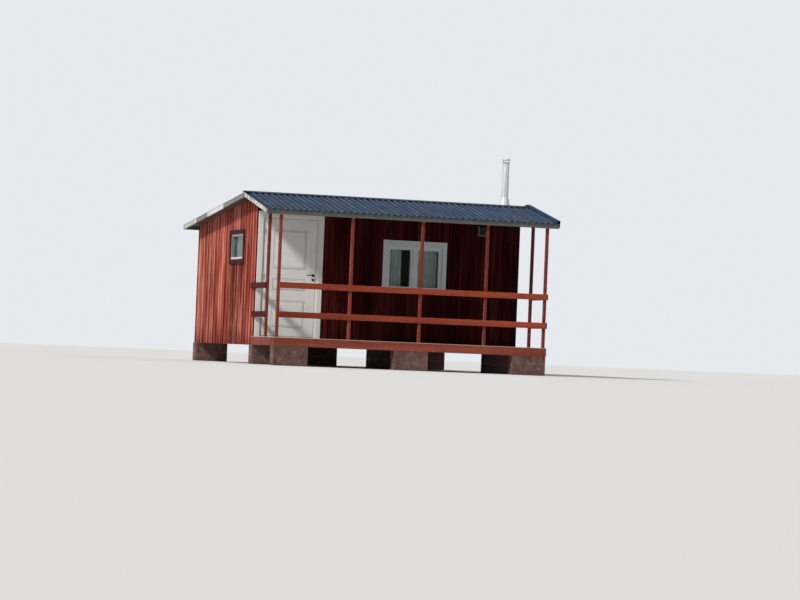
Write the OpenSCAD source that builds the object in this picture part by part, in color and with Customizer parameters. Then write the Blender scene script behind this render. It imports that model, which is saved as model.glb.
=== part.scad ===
// Small red lakeside boathouse cabin: one boarded room under a low ribbed-sheet roof,
// with the ridge over its front wall and the short front slope carried out over a
// railed timber porch. Setting out: x runs along the front from the left gable, y runs
// back from the face of the front wall, z is up from the lowest ground.

/* [Cabin] */
// Length over the two gable walls
cabin_len = 4770; // [3600:10:7000]
// Depth from the front wall's face to the back wall's face
cabin_depth = 4400; // [3000:50:5000]
// Thickness of every wall, boarding and lining included
wall_t = 95; // [90:5:180]
// Height of the ridge of the roof boards above the porch deck
ridge_rise = 2465; // [2380:5:2900]
// How far the ridge lies behind the face of the front wall
ridge_back = 20; // [10:5:80]

/* [Foundation and floor] */
// Height of one course of foundation blocks
course_h = 165; // [120:5:220]
// Number of courses in each pier
courses = 2; // [1:1:3]
// Width of a pier along the front
pier_w = 610; // [400:10:900]
// Depth of a pier
pier_d = 240; // [200:10:300]
// Depth of the joint between two courses
joint_d = 10; // [4:1:20]
// Height of the joint between two courses
joint_h = 10; // [4:1:20]
// Setback of the outer piers from the faces above them
pier_setback = 2; // [0:1:40]
// Height of the floor joists
joist_h = 117; // [95:1:170]
// Thickness of the rim boards and of the floor joists
joist_t = 45; // [34:1:60]
// Spacing of the joists
joist_step = 600; // [400:50:700]
// Thickness of the deck and floor boards
floor_t = 28; // [21:1:36]

/* [Porch] */
// Depth of the porch from the wall's face to the face of the rim board
porch_depth = 1545; // [1100:5:1800]
// Distance that the deck stands out past the gable walls
deck_past = 30; // [0:5:60]
// Side of the square posts
post_w = 50; // [34:1:70]
// Centre of the second front post from the left gable
post_2 = 1275; // [1100:5:1400]
// Centre of the middle front post from the left gable
post_3 = 2510; // [2300:5:2750]
// Centre of the fourth front post from the left gable
post_4 = 3670; // [3400:5:4000]
// Distance of the end posts from the wall's face to their centres
end_post_out = 770; // [560:5:900]
// Height of the rail boards
rail_h = 100; // [70:5:140]
// Thickness of the rail boards
rail_t = 28; // [21:1:36]
// Top of the upper rail above the deck
rail_upper_top = 922; // [800:2:1100]
// Top of the lower rail above the deck
rail_lower_top = 432; // [350:2:550]
// Lap of the upper left rail on the outside of the gable wall
rail_upper_lap = 200; // [60:10:300]
// Lap of the lower left rail on the outside of the gable wall
rail_lower_lap = 25; // [20:5:300]

/* [Roof] */
// Pitch of the front slope over the porch, in degrees
front_pitch = 11.7; // [10:0.1:15]
// Pitch of the rear slope over the room, in degrees
rear_pitch = 5.5; // [4:0.1:8.5]
// Overhang of the roof sheet past the left gable
over_left = 247; // [150:1:400]
// Overhang of the roof sheet past the right gable
over_right = 165; // [150:5:400]
// Front edge of the roof sheet in front of the rim board
over_front = 70; // [50:5:250]
// Rear edge of the roof sheet behind the back wall
over_rear = 250; // [150:10:400]
// Thickness of the roof boards
roof_board_t = 22; // [17:1:28]
// Height of the rafters
rafter_h = 70; // [58:1:90]
// Thickness of the rafters
rafter_t = 45; // [34:1:58]
// Number of rafters over the room
cabin_rafter_count = 6; // [4:1:9]
// Height of the bargeboards and fascias
trim_h = 79; // [75:1:145]
// Thickness of the bargeboards and fascias
trim_t = 22; // [17:1:28]
// Overhang of the sheet past the fascias
sheet_drip = 24; // [10:1:40]
// Overhang of the sheet past the bargeboards
verge_drip = 5; // [3:1:40]

/* [Roof sheet] */
// Distance from rib to rib of the sheet
rib_step = 110; // [76:1:160]
// Width of the flat top of a rib
rib_top = 40; // [20:1:60]
// Width of the slanted side of a rib
rib_side = 17; // [8:1:24]
// Depth of the ribs
rib_h = 20; // [12:1:35]
// Thickness of the sheet metal
sheet_t = 1; // [0.6:0.1:2]
// Gap between the two sheets under the ridge cap
ridge_gap = 30; // [20:5:60]
// Width of each side of the ridge cap
cap_w = 145; // [110:5:160]
// Lip turned down along the ridge cap's edges
cap_lip = 6; // [4:1:16]
// Width of the verge trim at the right end
verge_w = 45; // [30:1:70]
// Height of the verge trim above the ribs
verge_up = 40; // [10:1:60]
// Drop of the verge trim over the bargeboard
verge_drop = 60; // [30:5:90]

/* [Door] */
// Width of the door leaf
leaf_w = 925; // [700:5:925]
// Height of the door leaf
leaf_h = 2015; // [1900:5:2100]
// Thickness of the door leaf
leaf_t = 40; // [32:1:50]
// Clearance round the door leaf
leaf_gap = 6.5; // [6:0.5:9]
// Thickness of the door jambs and head
jamb_t = 38; // [30:1:46]
// Width of the stop that the leaf closes against
stop_w = 12; // [8:1:18]
// Height of the threshold above the floor
sill_up = 18; // [16:1:60]
// Width of the flat boards round the door
door_casing_w = 90; // [60:5:110]
// Width of the stiles of the leaf
stile_w = 170; // [90:5:200]
// Depth of the sunk panels
panel_sink = 8; // [4:1:12]
// Height of the lever above the bottom of the leaf
lever_up = 1065; // [950:5:1150]

/* [Windows] */
// Left edge of the front window's casing from the left gable
win_x = 2268; // [1900:1:2500]
// Width over the front window's casing
win_w = 1160; // [900:5:1260]
// Underside of the front window's casing above the deck
win_z = 854; // [780:2:1000]
// Height over the front window's casing
win_h = 920; // [700:5:1050]
// Width of the side casing boards
win_casing_side = 75; // [60:1:110]
// Width of the top casing board
win_casing_top = 97; // [60:1:120]
// Width of the bottom casing board
win_casing_low = 58; // [40:1:100]
// Width of the window frame members
win_bar = 32; // [26:1:50]
// Width of the post between the two sashes
win_post = 60; // [45:1:80]
// Width of the sash stiles and rails
sash_w = 45; // [35:1:60]
// Thickness of the sashes
sash_t = 40; // [32:1:50]
// Thickness of the window panes
glass_t = 4; // [3:0.5:8]
// Front edge of the gable window's frame from the front wall's face
gable_win_y = 907; // [600:1:1200]
// Width of the gable window's frame
gable_win_w = 920; // [500:10:1000]
// Underside of the gable window's frame above the deck
gable_win_z = 1347; // [1000:1:1450]
// Height of the gable window's frame
gable_win_h = 445; // [350:5:480]
// Width of the gable window's frame members
gable_bar = 45; // [35:1:60]
// Depth of the gable window's frame
gable_frame_d = 60; // [45:1:80]
// Width of the trim boards above and beside the gable window
gable_trim_w = 70; // [40:1:90]
// Width of the trim board below the gable window
gable_sill_w = 78; // [20:1:120]

/* [Flue and fittings] */
// Outer diameter of the flue
flue_d = 126; // [100:2:160]
// Wall thickness of the flue
flue_wall = 1.5; // [1:0.5:3]
// Distance of the flue from the right gable's face
flue_in = 203; // [170:1:600]
// Distance of the flue behind the ridge
flue_back = 310; // [250:10:900]
// Height of the flue's rim above the ridge
flue_up = 800; // [500:10:1200]
// Height of the flared collar where the flue leaves the roof
collar_h = 210; // [120:10:300]
// Width of the vent hood on the front wall
vent_w = 145; // [100:5:250]
// Left edge of the vent hood from the left gable
vent_x = 3989; // [3700:1:4300]
// Underside of the vent hood above the deck
vent_z = 1925; // [1700:5:2000]
// Height of the vent hood
vent_h = 175; // [100:5:200]

/* [Hidden] */
$fn = 48;

// Hair gap between a sloped board and what carries it
roof_seat = 0.3;
// Levels
pier_h = course_h * courses;
floor_z = pier_h + joist_h;
deck_z = floor_z + floor_t;
ridge_z = deck_z + ridge_rise;
// Edges of the roof sheets, measured on the setting-out axes
sheet_x0 = -over_left;
sheet_x1 = cabin_len + over_right;
sheet_y0 = -porch_depth - over_front;
sheet_y1 = cabin_depth + over_rear;
// Middle of the whole roof, where the origin stands
verge_top = rib_h + sheet_t + verge_up;
crest_out_front = verge_top * sin(front_pitch);
crest_out_rear = verge_top * sin(rear_pitch);
verge_x1 = sheet_x1 + roof_seat + sheet_t;
mid_x = (sheet_x0 + verge_x1) / 2;
mid_y = (sheet_y0 - crest_out_front + sheet_y1 + crest_out_rear) / 2;
// Faces of the boards along the roof's edges
barge_x0 = sheet_x0 + verge_drip;
barge_x1 = sheet_x1 - verge_drip;
fascia_y0 = sheet_y0 + sheet_drip;
fascia_y1 = sheet_y1 - sheet_drip;
// Front posts, flush with the gables at both ends
post_xs = [post_w / 2, post_2, post_3, post_4, cabin_len - post_w / 2];
post_back = 8;
post_y = -porch_depth + post_back + post_w / 2;
// Door, with its frame against the inner face of the gable wall
leaf_z = deck_z + sill_up + leaf_gap;
door_x0 = wall_t;
leaf_x = door_x0 + jamb_t + leaf_gap;
door_x1 = leaf_x + leaf_w + leaf_gap + jamb_t;
door_top = leaf_z + leaf_h + leaf_gap + jamb_t;
leaf_y = 0;
frame_d = wall_t;
stop_y = leaf_y + leaf_t + leaf_gap;
casing_lap = 12;
board_t = 22;
// Hinges stand in front of the gap on the left of the leaf
hinge_x = leaf_x - leaf_gap / 2;
hinge_y = -9;
hinge_r = 8;
hinge_pin_r = 4;
hinge_play = 0.2;
hinge_half = 45;
hinge_plate = [28, 2.5];
hinge_zs = [250, 1020, 1790];
// Front window
lap = 12;
frame_x0 = win_x + win_casing_side - lap;
frame_x1 = win_x + win_w - win_casing_side + lap;
frame_z0 = deck_z + win_z + win_casing_low - lap;
frame_z1 = deck_z + win_z + win_h - win_casing_top + lap;
win_mid = (frame_x0 + frame_x1) / 2;
win_frame_d = wall_t;
sash_y = 10;
seat = 0.5;
rebate = 6;
pane_y = sash_y + sash_t / 2;
// Gable window
gable_y1 = gable_win_y + gable_win_w;
gable_z0 = deck_z + gable_win_z;
gable_z1 = gable_z0 + gable_win_h;
gable_pane_in = 15;
gable_pane_x = gable_frame_d - gable_pane_in;
// Curtains, as shares of the width over the casing
rod_r = 6;
rod_out = 34;
rod_drop = 45;
rod_z = deck_z + win_z + win_h - rod_drop;
rod_past = 40;
curtain_t = 14;
curtain_past = 30;
curtain_low = deck_z + win_z - curtain_past;
curtain_spans = [[0.06, 0.32], [0.53, 0.88]];
// Flue
flue_x = cabin_len - flue_in;
flue_y = ridge_back + flue_back;
flue_r = flue_d / 2;
flue_z1 = ridge_z + flue_up;
flue_below = 300;
flue_clear = 14;
flashing_w = 50;

function pitch_at(y) = y < ridge_back ? front_pitch : rear_pitch;
// Height of the upper face of the roof boards at a place y
function roof_z(y) = ridge_z - abs(y - ridge_back) * tan(pitch_at(y));
// Height at y of a plane that lies a depth d below the face of the boards
function below_roof(y, d) = roof_z(y) - d / cos(pitch_at(y));
// Height of the tops of the walls, a hair under the boards
function soffit_z(y) = below_roof(y, roof_board_t) - roof_seat;
// Height of the heads of the posts, just under the rafters
function rafter_low(y) = below_roof(y, roof_board_t + rafter_h) - roof_seat;

// Puts the setting-out axes so that the origin is under the middle of the roof
module plot() {
    translate([-mid_x, -mid_y, 0]) children();
}

// Extrudes an outline drawn in y and z from x0 to x1
module along_x(x0, x1) {
    translate([x0, 0, 0]) rotate([90, 0, 90]) linear_extrude(x1 - x0) children();
}

module block(x0, x1, y0, y1, z0, z1) {
    translate([x0, y0, z0]) cube([x1 - x0, y1 - y0, z1 - z0]);
}

// A slab from z0 up to the underside of the roof boards
module under_roof(x0, x1, y0, y1, z0) {
    peak_z = ridge_z - roof_board_t / cos(max(front_pitch, rear_pitch)) - roof_seat;
    peak = y0 < ridge_back && y1 > ridge_back ? [[ridge_back, peak_z]] : [];
    along_x(x0, x1) polygon(concat(
        [[y0, z0], [y1, z0], [y1, soffit_z(y1)]], peak, [[y0, soffit_z(y0)]]));
}

// A board layer that follows one slope, between depths d0 and d1 below the boards' face
module slope_layer(x0, x1, y0, y1, d0, d1) {
    front = y1 <= ridge_back;
    p = front ? front_pitch : rear_pitch;
    z0 = ridge_z - abs(y0 - ridge_back) * tan(p);
    z1 = ridge_z - abs(y1 - ridge_back) * tan(p);
    along_x(x0, x1) polygon([
        [y0, z0 - d0 / cos(p)], [y1, z1 - d0 / cos(p)],
        [y1, z1 - d1 / cos(p)], [y0, z0 - d1 / cos(p)]]);
}

// Local axes on a slope: x along the ridge, z out of the boards
module on_front_slope() {
    translate([0, ridge_back, ridge_z]) rotate([front_pitch, 0, 0]) children();
}

module on_rear_slope() {
    translate([0, ridge_back, ridge_z]) rotate([-rear_pitch, 0, 0]) children();
}

// One pier of stacked blocks with a sunk joint between the courses
module pier(x0, y0) {
    difference() {
        block(x0, x0 + pier_w, y0, y0 + pier_d, 0, pier_h);
        for (i = [1 : 1 : courses - 1])
            difference() {
                block(x0 - 1, x0 + pier_w + 1, y0 - 1, y0 + pier_d + 1,
                    i * course_h - joint_h / 2, i * course_h + joint_h / 2);
                block(x0 + joint_d, x0 + pier_w - joint_d,
                    y0 + joint_d, y0 + pier_d - joint_d,
                    i * course_h - joint_h, i * course_h + joint_h);
            }
    }
}

module piers() {
    xs = [-deck_past + pier_setback, (cabin_len - pier_w) / 2,
        cabin_len + deck_past - pier_w - pier_setback];
    ys = [-porch_depth + pier_setback, (wall_t - pier_d) / 2,
        cabin_depth - pier_d - pier_setback];
    color("rosybrown") plot()
        for (x = xs, y = ys) pier(x, y);
}

// Floor joists, in a row under the porch and a row under the room
module joists() {
    bays = round((cabin_len - 2 * wall_t) / joist_step);
    step = (cabin_len - 2 * wall_t - joist_t) / bays;
    color("burlywood") plot() {
        for (i = [1 : bays - 1])
            block(wall_t + i * step, wall_t + i * step + joist_t,
                -porch_depth + joist_t, 0, pier_h, floor_z);
        for (i = [0 : bays])
            block(wall_t + i * step, wall_t + i * step + joist_t,
                wall_t, cabin_depth - wall_t, pier_h, floor_z);
    }
}

// Rim boards on three sides of the porch, flush with the deck
module deck_rim() {
    color("firebrick") plot() {
        block(-deck_past, cabin_len + deck_past, -porch_depth, -porch_depth + joist_t,
            pier_h, deck_z);
        block(-deck_past, joist_t - deck_past, -porch_depth, 0, pier_h, deck_z);
        block(cabin_len + deck_past - joist_t, cabin_len + deck_past, -porch_depth, 0,
            pier_h, deck_z);
    }
}

module front_sill() {
    color("burlywood") plot()
        block(wall_t, cabin_len - wall_t, 0, wall_t, pier_h, floor_z);
}

module porch_deck() {
    color("tan") plot()
        block(joist_t - deck_past, cabin_len + deck_past - joist_t,
            -porch_depth + joist_t, 0, floor_z, deck_z);
}

module cabin_floor() {
    color("tan") plot()
        block(wall_t, cabin_len - wall_t, wall_t, cabin_depth - wall_t, floor_z, deck_z);
}

module front_wall_over_door() {
    color("brown") plot() under_roof(door_x0, door_x1, 0, wall_t, door_top);
}

module front_wall_middle() {
    color("brown") plot() under_roof(door_x1, frame_x0, 0, wall_t, floor_z);
}

module front_wall_window_bay() {
    color("brown") plot() {
        block(frame_x0, frame_x1, 0, wall_t, floor_z, frame_z0);
        under_roof(frame_x0, frame_x1, 0, wall_t, frame_z1);
    }
}

module front_wall_right() {
    color("brown") plot() under_roof(frame_x1, cabin_len - wall_t, 0, wall_t, floor_z);
}

module left_wall_front() {
    color("brown") plot() under_roof(0, wall_t, 0, gable_win_y, pier_h);
}

module left_wall_window_bay() {
    color("brown") plot() {
        block(0, wall_t, gable_win_y, gable_y1, pier_h, gable_z0);
        under_roof(0, wall_t, gable_win_y, gable_y1, gable_z1);
    }
}

module left_wall_back() {
    color("brown") plot() under_roof(0, wall_t, gable_y1, cabin_depth, pier_h);
}

module right_wall() {
    color("brown") plot() under_roof(cabin_len - wall_t, cabin_len, 0, cabin_depth, pier_h);
}

// The back wall is notched at its top for the rafters
module back_wall() {
    color("brown") plot()
        difference() {
            under_roof(wall_t, cabin_len - wall_t, cabin_depth - wall_t, cabin_depth, pier_h);
            cabin_rafter_row(0, roof_board_t + rafter_h + roof_seat, rafter_t + 2 * roof_seat);
        }
}

// One rafter under each front post's line, from the eave to the front wall
module porch_rafters() {
    color("burlywood") plot()
        for (x = post_xs)
            slope_layer(x - rafter_t / 2, x + rafter_t / 2, fascia_y0 + trim_t, 0,
                roof_board_t + roof_seat, roof_board_t + rafter_h);
}

// Bars on the lines of the rafters over the room, between two depths below the boards
module cabin_rafter_row(d0, d1, w) {
    step = (cabin_len - 2 * wall_t) / (cabin_rafter_count + 1);
    for (i = [1 : cabin_rafter_count])
        slope_layer(wall_t + i * step - w / 2, wall_t + i * step + w / 2,
            wall_t, fascia_y1 - trim_t, d0, d1);
}

module cabin_rafters() {
    color("burlywood") plot()
        cabin_rafter_row(roof_board_t + roof_seat, roof_board_t + rafter_h, rafter_t);
}

module roof_boards_front() {
    color("dimgray") plot()
        slope_layer(barge_x0 + trim_t, barge_x1 - trim_t, fascia_y0 + trim_t, ridge_back,
            0, roof_board_t);
}

module roof_boards_rear() {
    color("dimgray") plot()
        difference() {
            slope_layer(barge_x0 + trim_t, barge_x1 - trim_t, ridge_back,
                fascia_y1 - trim_t, 0, roof_board_t);
            flue_hole();
        }
}

module flue_hole() {
    translate([flue_x, flue_y, roof_z(flue_y) - flue_below])
        cylinder(h = 2 * flue_below, r = flue_r + flue_clear);
}

// Section of the ribbed sheet, with flat margins at both sides
function rib_line(x0, width, z) = let (
    n = floor((width - 2 * verge_w) / rib_step),
    margin = (width - n * rib_step) / 2,
    flat = rib_step - rib_top - 2 * rib_side)
    concat([[x0, z]],
        [for (i = [0 : n - 1]) each let (x = x0 + margin + i * rib_step) [
            [x + flat / 2, z],
            [x + flat / 2 + rib_side, z + rib_h],
            [x + flat / 2 + rib_side + rib_top, z + rib_h],
            [x + rib_step - flat / 2, z]]],
        [[x0 + width, z]]);

function reversed(list) = [for (i = [len(list) - 1 : -1 : 0]) list[i]];

module ribbed_section() {
    width = sheet_x1 - sheet_x0;
    polygon(concat(rib_line(sheet_x0, width, 0),
        reversed(rib_line(sheet_x0, width, sheet_t))));
}

// A ribbed sheet laid on a slope between two distances from the ridge
module ribbed_sheet(from, to) {
    translate([0, to, 0]) rotate([90, 0, 0]) linear_extrude(to - from) ribbed_section();
}

module roof_sheet_front() {
    color("slategray") plot() on_front_slope()
        ribbed_sheet((sheet_y0 - ridge_back) / cos(front_pitch), -ridge_gap / 2);
}

module roof_sheet_rear() {
    color("slategray") plot()
        difference() {
            on_rear_slope()
                ribbed_sheet(ridge_gap / 2, (sheet_y1 - ridge_back) / cos(rear_pitch));
            flue_hole();
        }
}

// Folded cap whose turned-down lips ride on the ribs of both sheets
module ridge_cap() {
    yf = ridge_back - cap_w * cos(front_pitch);
    yr = ridge_back + cap_w * cos(rear_pitch);
    rib_top_h = rib_h + sheet_t + roof_seat + cap_lip;
    zf = below_roof(yf, -rib_top_h);
    zr = below_roof(yr, -rib_top_h);
    zm = ridge_z + rib_top_h / cos(front_pitch);
    t = 1.5 * sheet_t;
    color("darkslategray") plot()
        along_x(sheet_x0, sheet_x1 - verge_w - roof_seat) polygon([
            [yf, zf], [ridge_back, zm], [yr, zr], [yr, zr - cap_lip], [yr + t, zr - cap_lip],
            [yr + t, zr + t], [ridge_back, zm + t], [yf - t, zf + t],
            [yf - t, zf - cap_lip], [yf, zf - cap_lip]]);
}

// Board along a verge, bent over the ridge
module bargeboard(x0) {
    along_x(x0, x0 + trim_t) polygon([
        [fascia_y0 + trim_t, roof_z(fascia_y0 + trim_t)], [ridge_back, ridge_z],
        [fascia_y1 - trim_t, roof_z(fascia_y1 - trim_t)],
        [fascia_y1 - trim_t, roof_z(fascia_y1 - trim_t) - trim_h],
        [ridge_back, ridge_z - trim_h],
        [fascia_y0 + trim_t, roof_z(fascia_y0 + trim_t) - trim_h]]);
}

module bargeboard_left() {
    color("lightgray") plot() bargeboard(barge_x0);
}

module bargeboard_right() {
    color("lightgray") plot() bargeboard(barge_x1 - trim_t);
}

module fascia_front() {
    z = roof_z(fascia_y0);
    color("gray") plot()
        block(barge_x0, barge_x1, fascia_y0, fascia_y0 + trim_t, z - trim_h, z);
}

module fascia_rear() {
    z = roof_z(fascia_y1);
    color("gray") plot()
        block(barge_x0, barge_x1, fascia_y1 - trim_t, fascia_y1, z - trim_h, z);
}

// Folded trim that stands over the sheet's right edge, in section across the slope
module verge_section() {
    t = sheet_t;
    foot = sheet_t + roof_seat;
    top = verge_top;
    x1 = verge_x1;
    x0 = sheet_x1 - verge_w;
    polygon([
        [x0, foot], [x0 + t, foot], [x0 + t, top - t], [x1 - t, top - t],
        [x1 - t, -verge_drop + t], [x1, -verge_drop], [x1, top], [x0, top]]);
}

module verge_trim() {
    front = (sheet_y0 - ridge_back) / cos(front_pitch);
    rear = (sheet_y1 - ridge_back) / cos(rear_pitch);
    color("slategray") plot() {
        on_front_slope()
            translate([0, -ridge_gap / 2, 0]) rotate([90, 0, 0])
                linear_extrude(-front - ridge_gap / 2) verge_section();
        on_rear_slope()
            translate([0, rear, 0]) rotate([90, 0, 0])
                linear_extrude(rear - ridge_gap / 2) verge_section();
    }
}

// Post with its head cut to the slope of the rafter above it
module post(x, y) {
    y0 = y - post_w / 2;
    y1 = y + post_w / 2;
    along_x(x - post_w / 2, x + post_w / 2) polygon([
        [y0, deck_z], [y1, deck_z], [y1, rafter_low(y1)], [y0, rafter_low(y0)]]);
}

module front_posts() {
    color("indianred") plot()
        for (x = post_xs) post(x, post_y);
}

module end_posts() {
    color("indianred") plot()
        for (x = [post_xs[0], post_xs[4]]) post(x, -end_post_out);
}

// Rails on the face of the front posts
module front_rails() {
    y1 = post_y - post_w / 2;
    color("firebrick") plot()
        for (top = [rail_upper_top, rail_lower_top])
            block(post_xs[0], cabin_len, y1 - rail_t, y1, deck_z + top - rail_h, deck_z + top);
}

// Short rails from the gable wall to the left end post, which leave the way in open
module left_rails() {
    color("firebrick") plot()
        for (r = [[rail_upper_top, rail_upper_lap], [rail_lower_top, rail_lower_lap]])
            block(-rail_t, 0, -end_post_out - post_w / 2, r[1],
                deck_z + r[0] - rail_h, deck_z + r[0]);
}

// Rails from the right end post to the corner post
module right_rails() {
    color("firebrick") plot()
        for (top = [rail_upper_top, rail_lower_top])
            block(cabin_len, cabin_len + rail_t, post_y - post_w / 2,
                -end_post_out + post_w / 2, deck_z + top - rail_h, deck_z + top);
}

// Section of a jamb, with the stop that the leaf closes against
module jamb_section() {
    polygon([[0, 0], [jamb_t, 0], [jamb_t, stop_y], [jamb_t + stop_w, stop_y],
        [jamb_t + stop_w, frame_d], [0, frame_d]]);
}

module door_frame() {
    head_z = leaf_z + leaf_h + leaf_gap;
    color("white") plot() {
        translate([door_x0, 0, floor_z]) linear_extrude(door_top - floor_z) jamb_section();
        translate([door_x1, 0, floor_z]) mirror([1, 0, 0])
            linear_extrude(door_top - floor_z) jamb_section();
        block(door_x0, door_x1, 0, frame_d, head_z, door_top);
        block(door_x0, door_x1, stop_y, frame_d, head_z - stop_w, door_top);
        block(door_x0, door_x1, 0, frame_d, floor_z, deck_z + sill_up);
        block(door_x0, door_x1, stop_y, frame_d, floor_z, deck_z + sill_up + stop_w);
    }
}

// Flat boards round the door, on the face of the wall
module door_casing() {
    x0 = door_x0 + casing_lap;
    x1 = door_x1 - casing_lap;
    z1 = door_top - casing_lap;
    color("white") plot() {
        block(x0 - door_casing_w, x0, -board_t, 0, deck_z, z1);
        block(x1, x1 + door_casing_w, -board_t, 0, deck_z, z1);
        block(x0 - door_casing_w, x1 + door_casing_w, -board_t, 0, z1, z1 + door_casing_w);
    }
}

// Leaf with three sunk panels on each face
module door_leaf() {
    panels = [[0.073, 0.302], [0.391, 0.492], [0.572, 0.907]];
    color("white") plot()
        translate([leaf_x, leaf_y, leaf_z])
            difference() {
                cube([leaf_w, leaf_t, leaf_h]);
                for (p = panels, y = [-1, leaf_t - panel_sink])
                    translate([stile_w, y, p[0] * leaf_h])
                        cube([leaf_w - 2 * stile_w, panel_sink + 1, (p[1] - p[0]) * leaf_h]);
            }
}

// Lever and lock rose for one face, drawn standing on y = 0 and growing towards -y
module lever_set() {
    rose_r = 25;
    rose_t = 8;
    neck_r = 9;
    neck_len = 48;
    lever_len = 118;
    lever_t = 14;
    lever_half = neck_r - lever_t / 2;
    lock_drop = 78;
    lock_r = 21;
    lock_t = 12;
    rotate([90, 0, 0]) {
        cylinder(h = rose_t, r = rose_r);
        cylinder(h = neck_len, r = neck_r);
        translate([0, -lock_drop, 0]) cylinder(h = lock_t, r = lock_r);
    }
    translate([0, lever_t / 2 - neck_len, 0]) rotate([0, -90, 0])
        linear_extrude(lever_len) {
            square([2 * lever_half, lever_t], center = true);
            for (x = [-lever_half, lever_half]) translate([x, 0]) circle(d = lever_t);
        }
}

module door_handle() {
    backset = 38;
    x = leaf_x + leaf_w - backset;
    z = leaf_z + lever_up;
    color("black") plot() {
        translate([x, leaf_y, z]) lever_set();
        translate([x, leaf_y + leaf_t, z]) mirror([0, 1, 0]) lever_set();
    }
}

// Upper halves of the hinges, on the leaf
module hinge_leaves() {
    color("silver") plot()
        for (z = hinge_zs)
            translate([hinge_x, hinge_y, leaf_z + z]) {
                difference() {
                    union() {
                        cylinder(h = hinge_half, r = hinge_r);
                        translate([0, leaf_y - hinge_y - hinge_plate[1], 0])
                            cube([hinge_plate[0], hinge_plate[1], hinge_half]);
                    }
                    translate([0, 0, -1])
                        cylinder(h = hinge_half + 2, r = hinge_pin_r + hinge_play);
                }
            }
}

// Lower halves and pins of the hinges, on the jamb
module hinge_pins() {
    color("silver") plot()
        for (z = hinge_zs)
            translate([hinge_x, hinge_y, leaf_z + z - hinge_half - hinge_play]) {
                cylinder(h = hinge_half, r = hinge_r);
                cylinder(h = 2 * hinge_half, r = hinge_pin_r);
                translate([-hinge_plate[0], -hinge_y - hinge_plate[1], 0])
                    cube([hinge_plate[0], hinge_plate[1], hinge_half]);
            }
}

module window_frame() {
    color("white") plot()
        difference() {
            block(frame_x0, frame_x1, 0, win_frame_d, frame_z0, frame_z1);
            block(frame_x0 + win_bar, win_mid - win_post / 2, -1, win_frame_d + 1,
                frame_z0 + win_bar, frame_z1 - win_bar);
            block(win_mid + win_post / 2, frame_x1 - win_bar, -1, win_frame_d + 1,
                frame_z0 + win_bar, frame_z1 - win_bar);
        }
}

// Inner outline of each half of the front window's frame, as [x0, x1]
function sash_span(side) = side == 0
    ? [frame_x0 + win_bar + seat, win_mid - win_post / 2 - seat]
    : [win_mid + win_post / 2 + seat, frame_x1 - win_bar - seat];

// Each sash has a rebate on its outer side that the pane lies in
module window_sashes() {
    z0 = frame_z0 + win_bar + seat;
    z1 = frame_z1 - win_bar - seat;
    color("white") plot()
        for (side = [0, 1])
            let (s = sash_span(side))
                difference() {
                    block(s[0], s[1], sash_y, sash_y + sash_t, z0, z1);
                    block(s[0] + sash_w, s[1] - sash_w, sash_y - 1, sash_y + sash_t + 1,
                        z0 + sash_w, z1 - sash_w);
                    block(s[0] + sash_w - rebate, s[1] - sash_w + rebate, sash_y - 1,
                        pane_y + glass_t, z0 + sash_w - rebate, z1 - sash_w + rebate);
                }
}

module window_casing() {
    z0 = deck_z + win_z;
    color("white") plot()
        difference() {
            block(win_x, win_x + win_w, -board_t, 0, z0, z0 + win_h);
            block(win_x + win_casing_side, win_x + win_w - win_casing_side, -board_t - 1, 1,
                z0 + win_casing_low, z0 + win_h - win_casing_top);
        }
}

module gable_window_frame() {
    color("white") plot()
        difference() {
            block(0, gable_frame_d, gable_win_y, gable_y1, gable_z0, gable_z1);
            block(-1, gable_frame_d + 1, gable_win_y + gable_bar, gable_y1 - gable_bar,
                gable_z0 + gable_bar, gable_z1 - gable_bar);
            block(-1, gable_pane_x + glass_t,
                gable_win_y + gable_bar - rebate, gable_y1 - gable_bar + rebate,
                gable_z0 + gable_bar - rebate, gable_z1 - gable_bar + rebate);
        }
}

// Trim boards round the gable window, lapped on its frame
module gable_window_trim() {
    color("maroon") plot()
        difference() {
            block(-board_t, 0, gable_win_y - gable_trim_w, gable_y1 + gable_trim_w,
                gable_z0 - gable_sill_w, gable_z1 + gable_trim_w);
            block(-board_t - 1, 1, gable_win_y, gable_y1, gable_z0, gable_z1);
        }
}

module glass_panes() {
    z0 = frame_z0 + win_bar + seat + sash_w - rebate;
    z1 = frame_z1 - win_bar - seat - sash_w + rebate;
    color("lightblue") plot() {
        for (side = [0, 1])
            let (s = sash_span(side))
                block(s[0] + sash_w - rebate, s[1] - sash_w + rebate,
                    pane_y, pane_y + glass_t, z0, z1);
        block(gable_pane_x, gable_pane_x + glass_t,
            gable_win_y + gable_bar - rebate, gable_y1 - gable_bar + rebate,
            gable_z0 + gable_bar - rebate, gable_z1 - gable_bar + rebate);
    }
}

module curtain_rod() {
    x0 = win_x - rod_past;
    x1 = win_x + win_w + rod_past;
    color("silver") plot() {
        translate([x0, wall_t + rod_out, rod_z]) rotate([0, 90, 0])
            cylinder(h = x1 - x0, r = rod_r);
        for (x = [x0 + rod_past, x1 - rod_past])
            block(x - rod_r, x + rod_r, wall_t, wall_t + rod_out, rod_z - rod_r, rod_z + rod_r);
    }
}

// Outer shape of the two hanging curtains
module curtains() {
    y = wall_t + rod_out;
    color("whitesmoke") plot()
        for (c = curtain_spans)
            block(win_x + c[0] * win_w, win_x + c[1] * win_w,
                y - curtain_t / 2, y + curtain_t / 2, curtain_low, rod_z - rod_r - seat);
}

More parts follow.
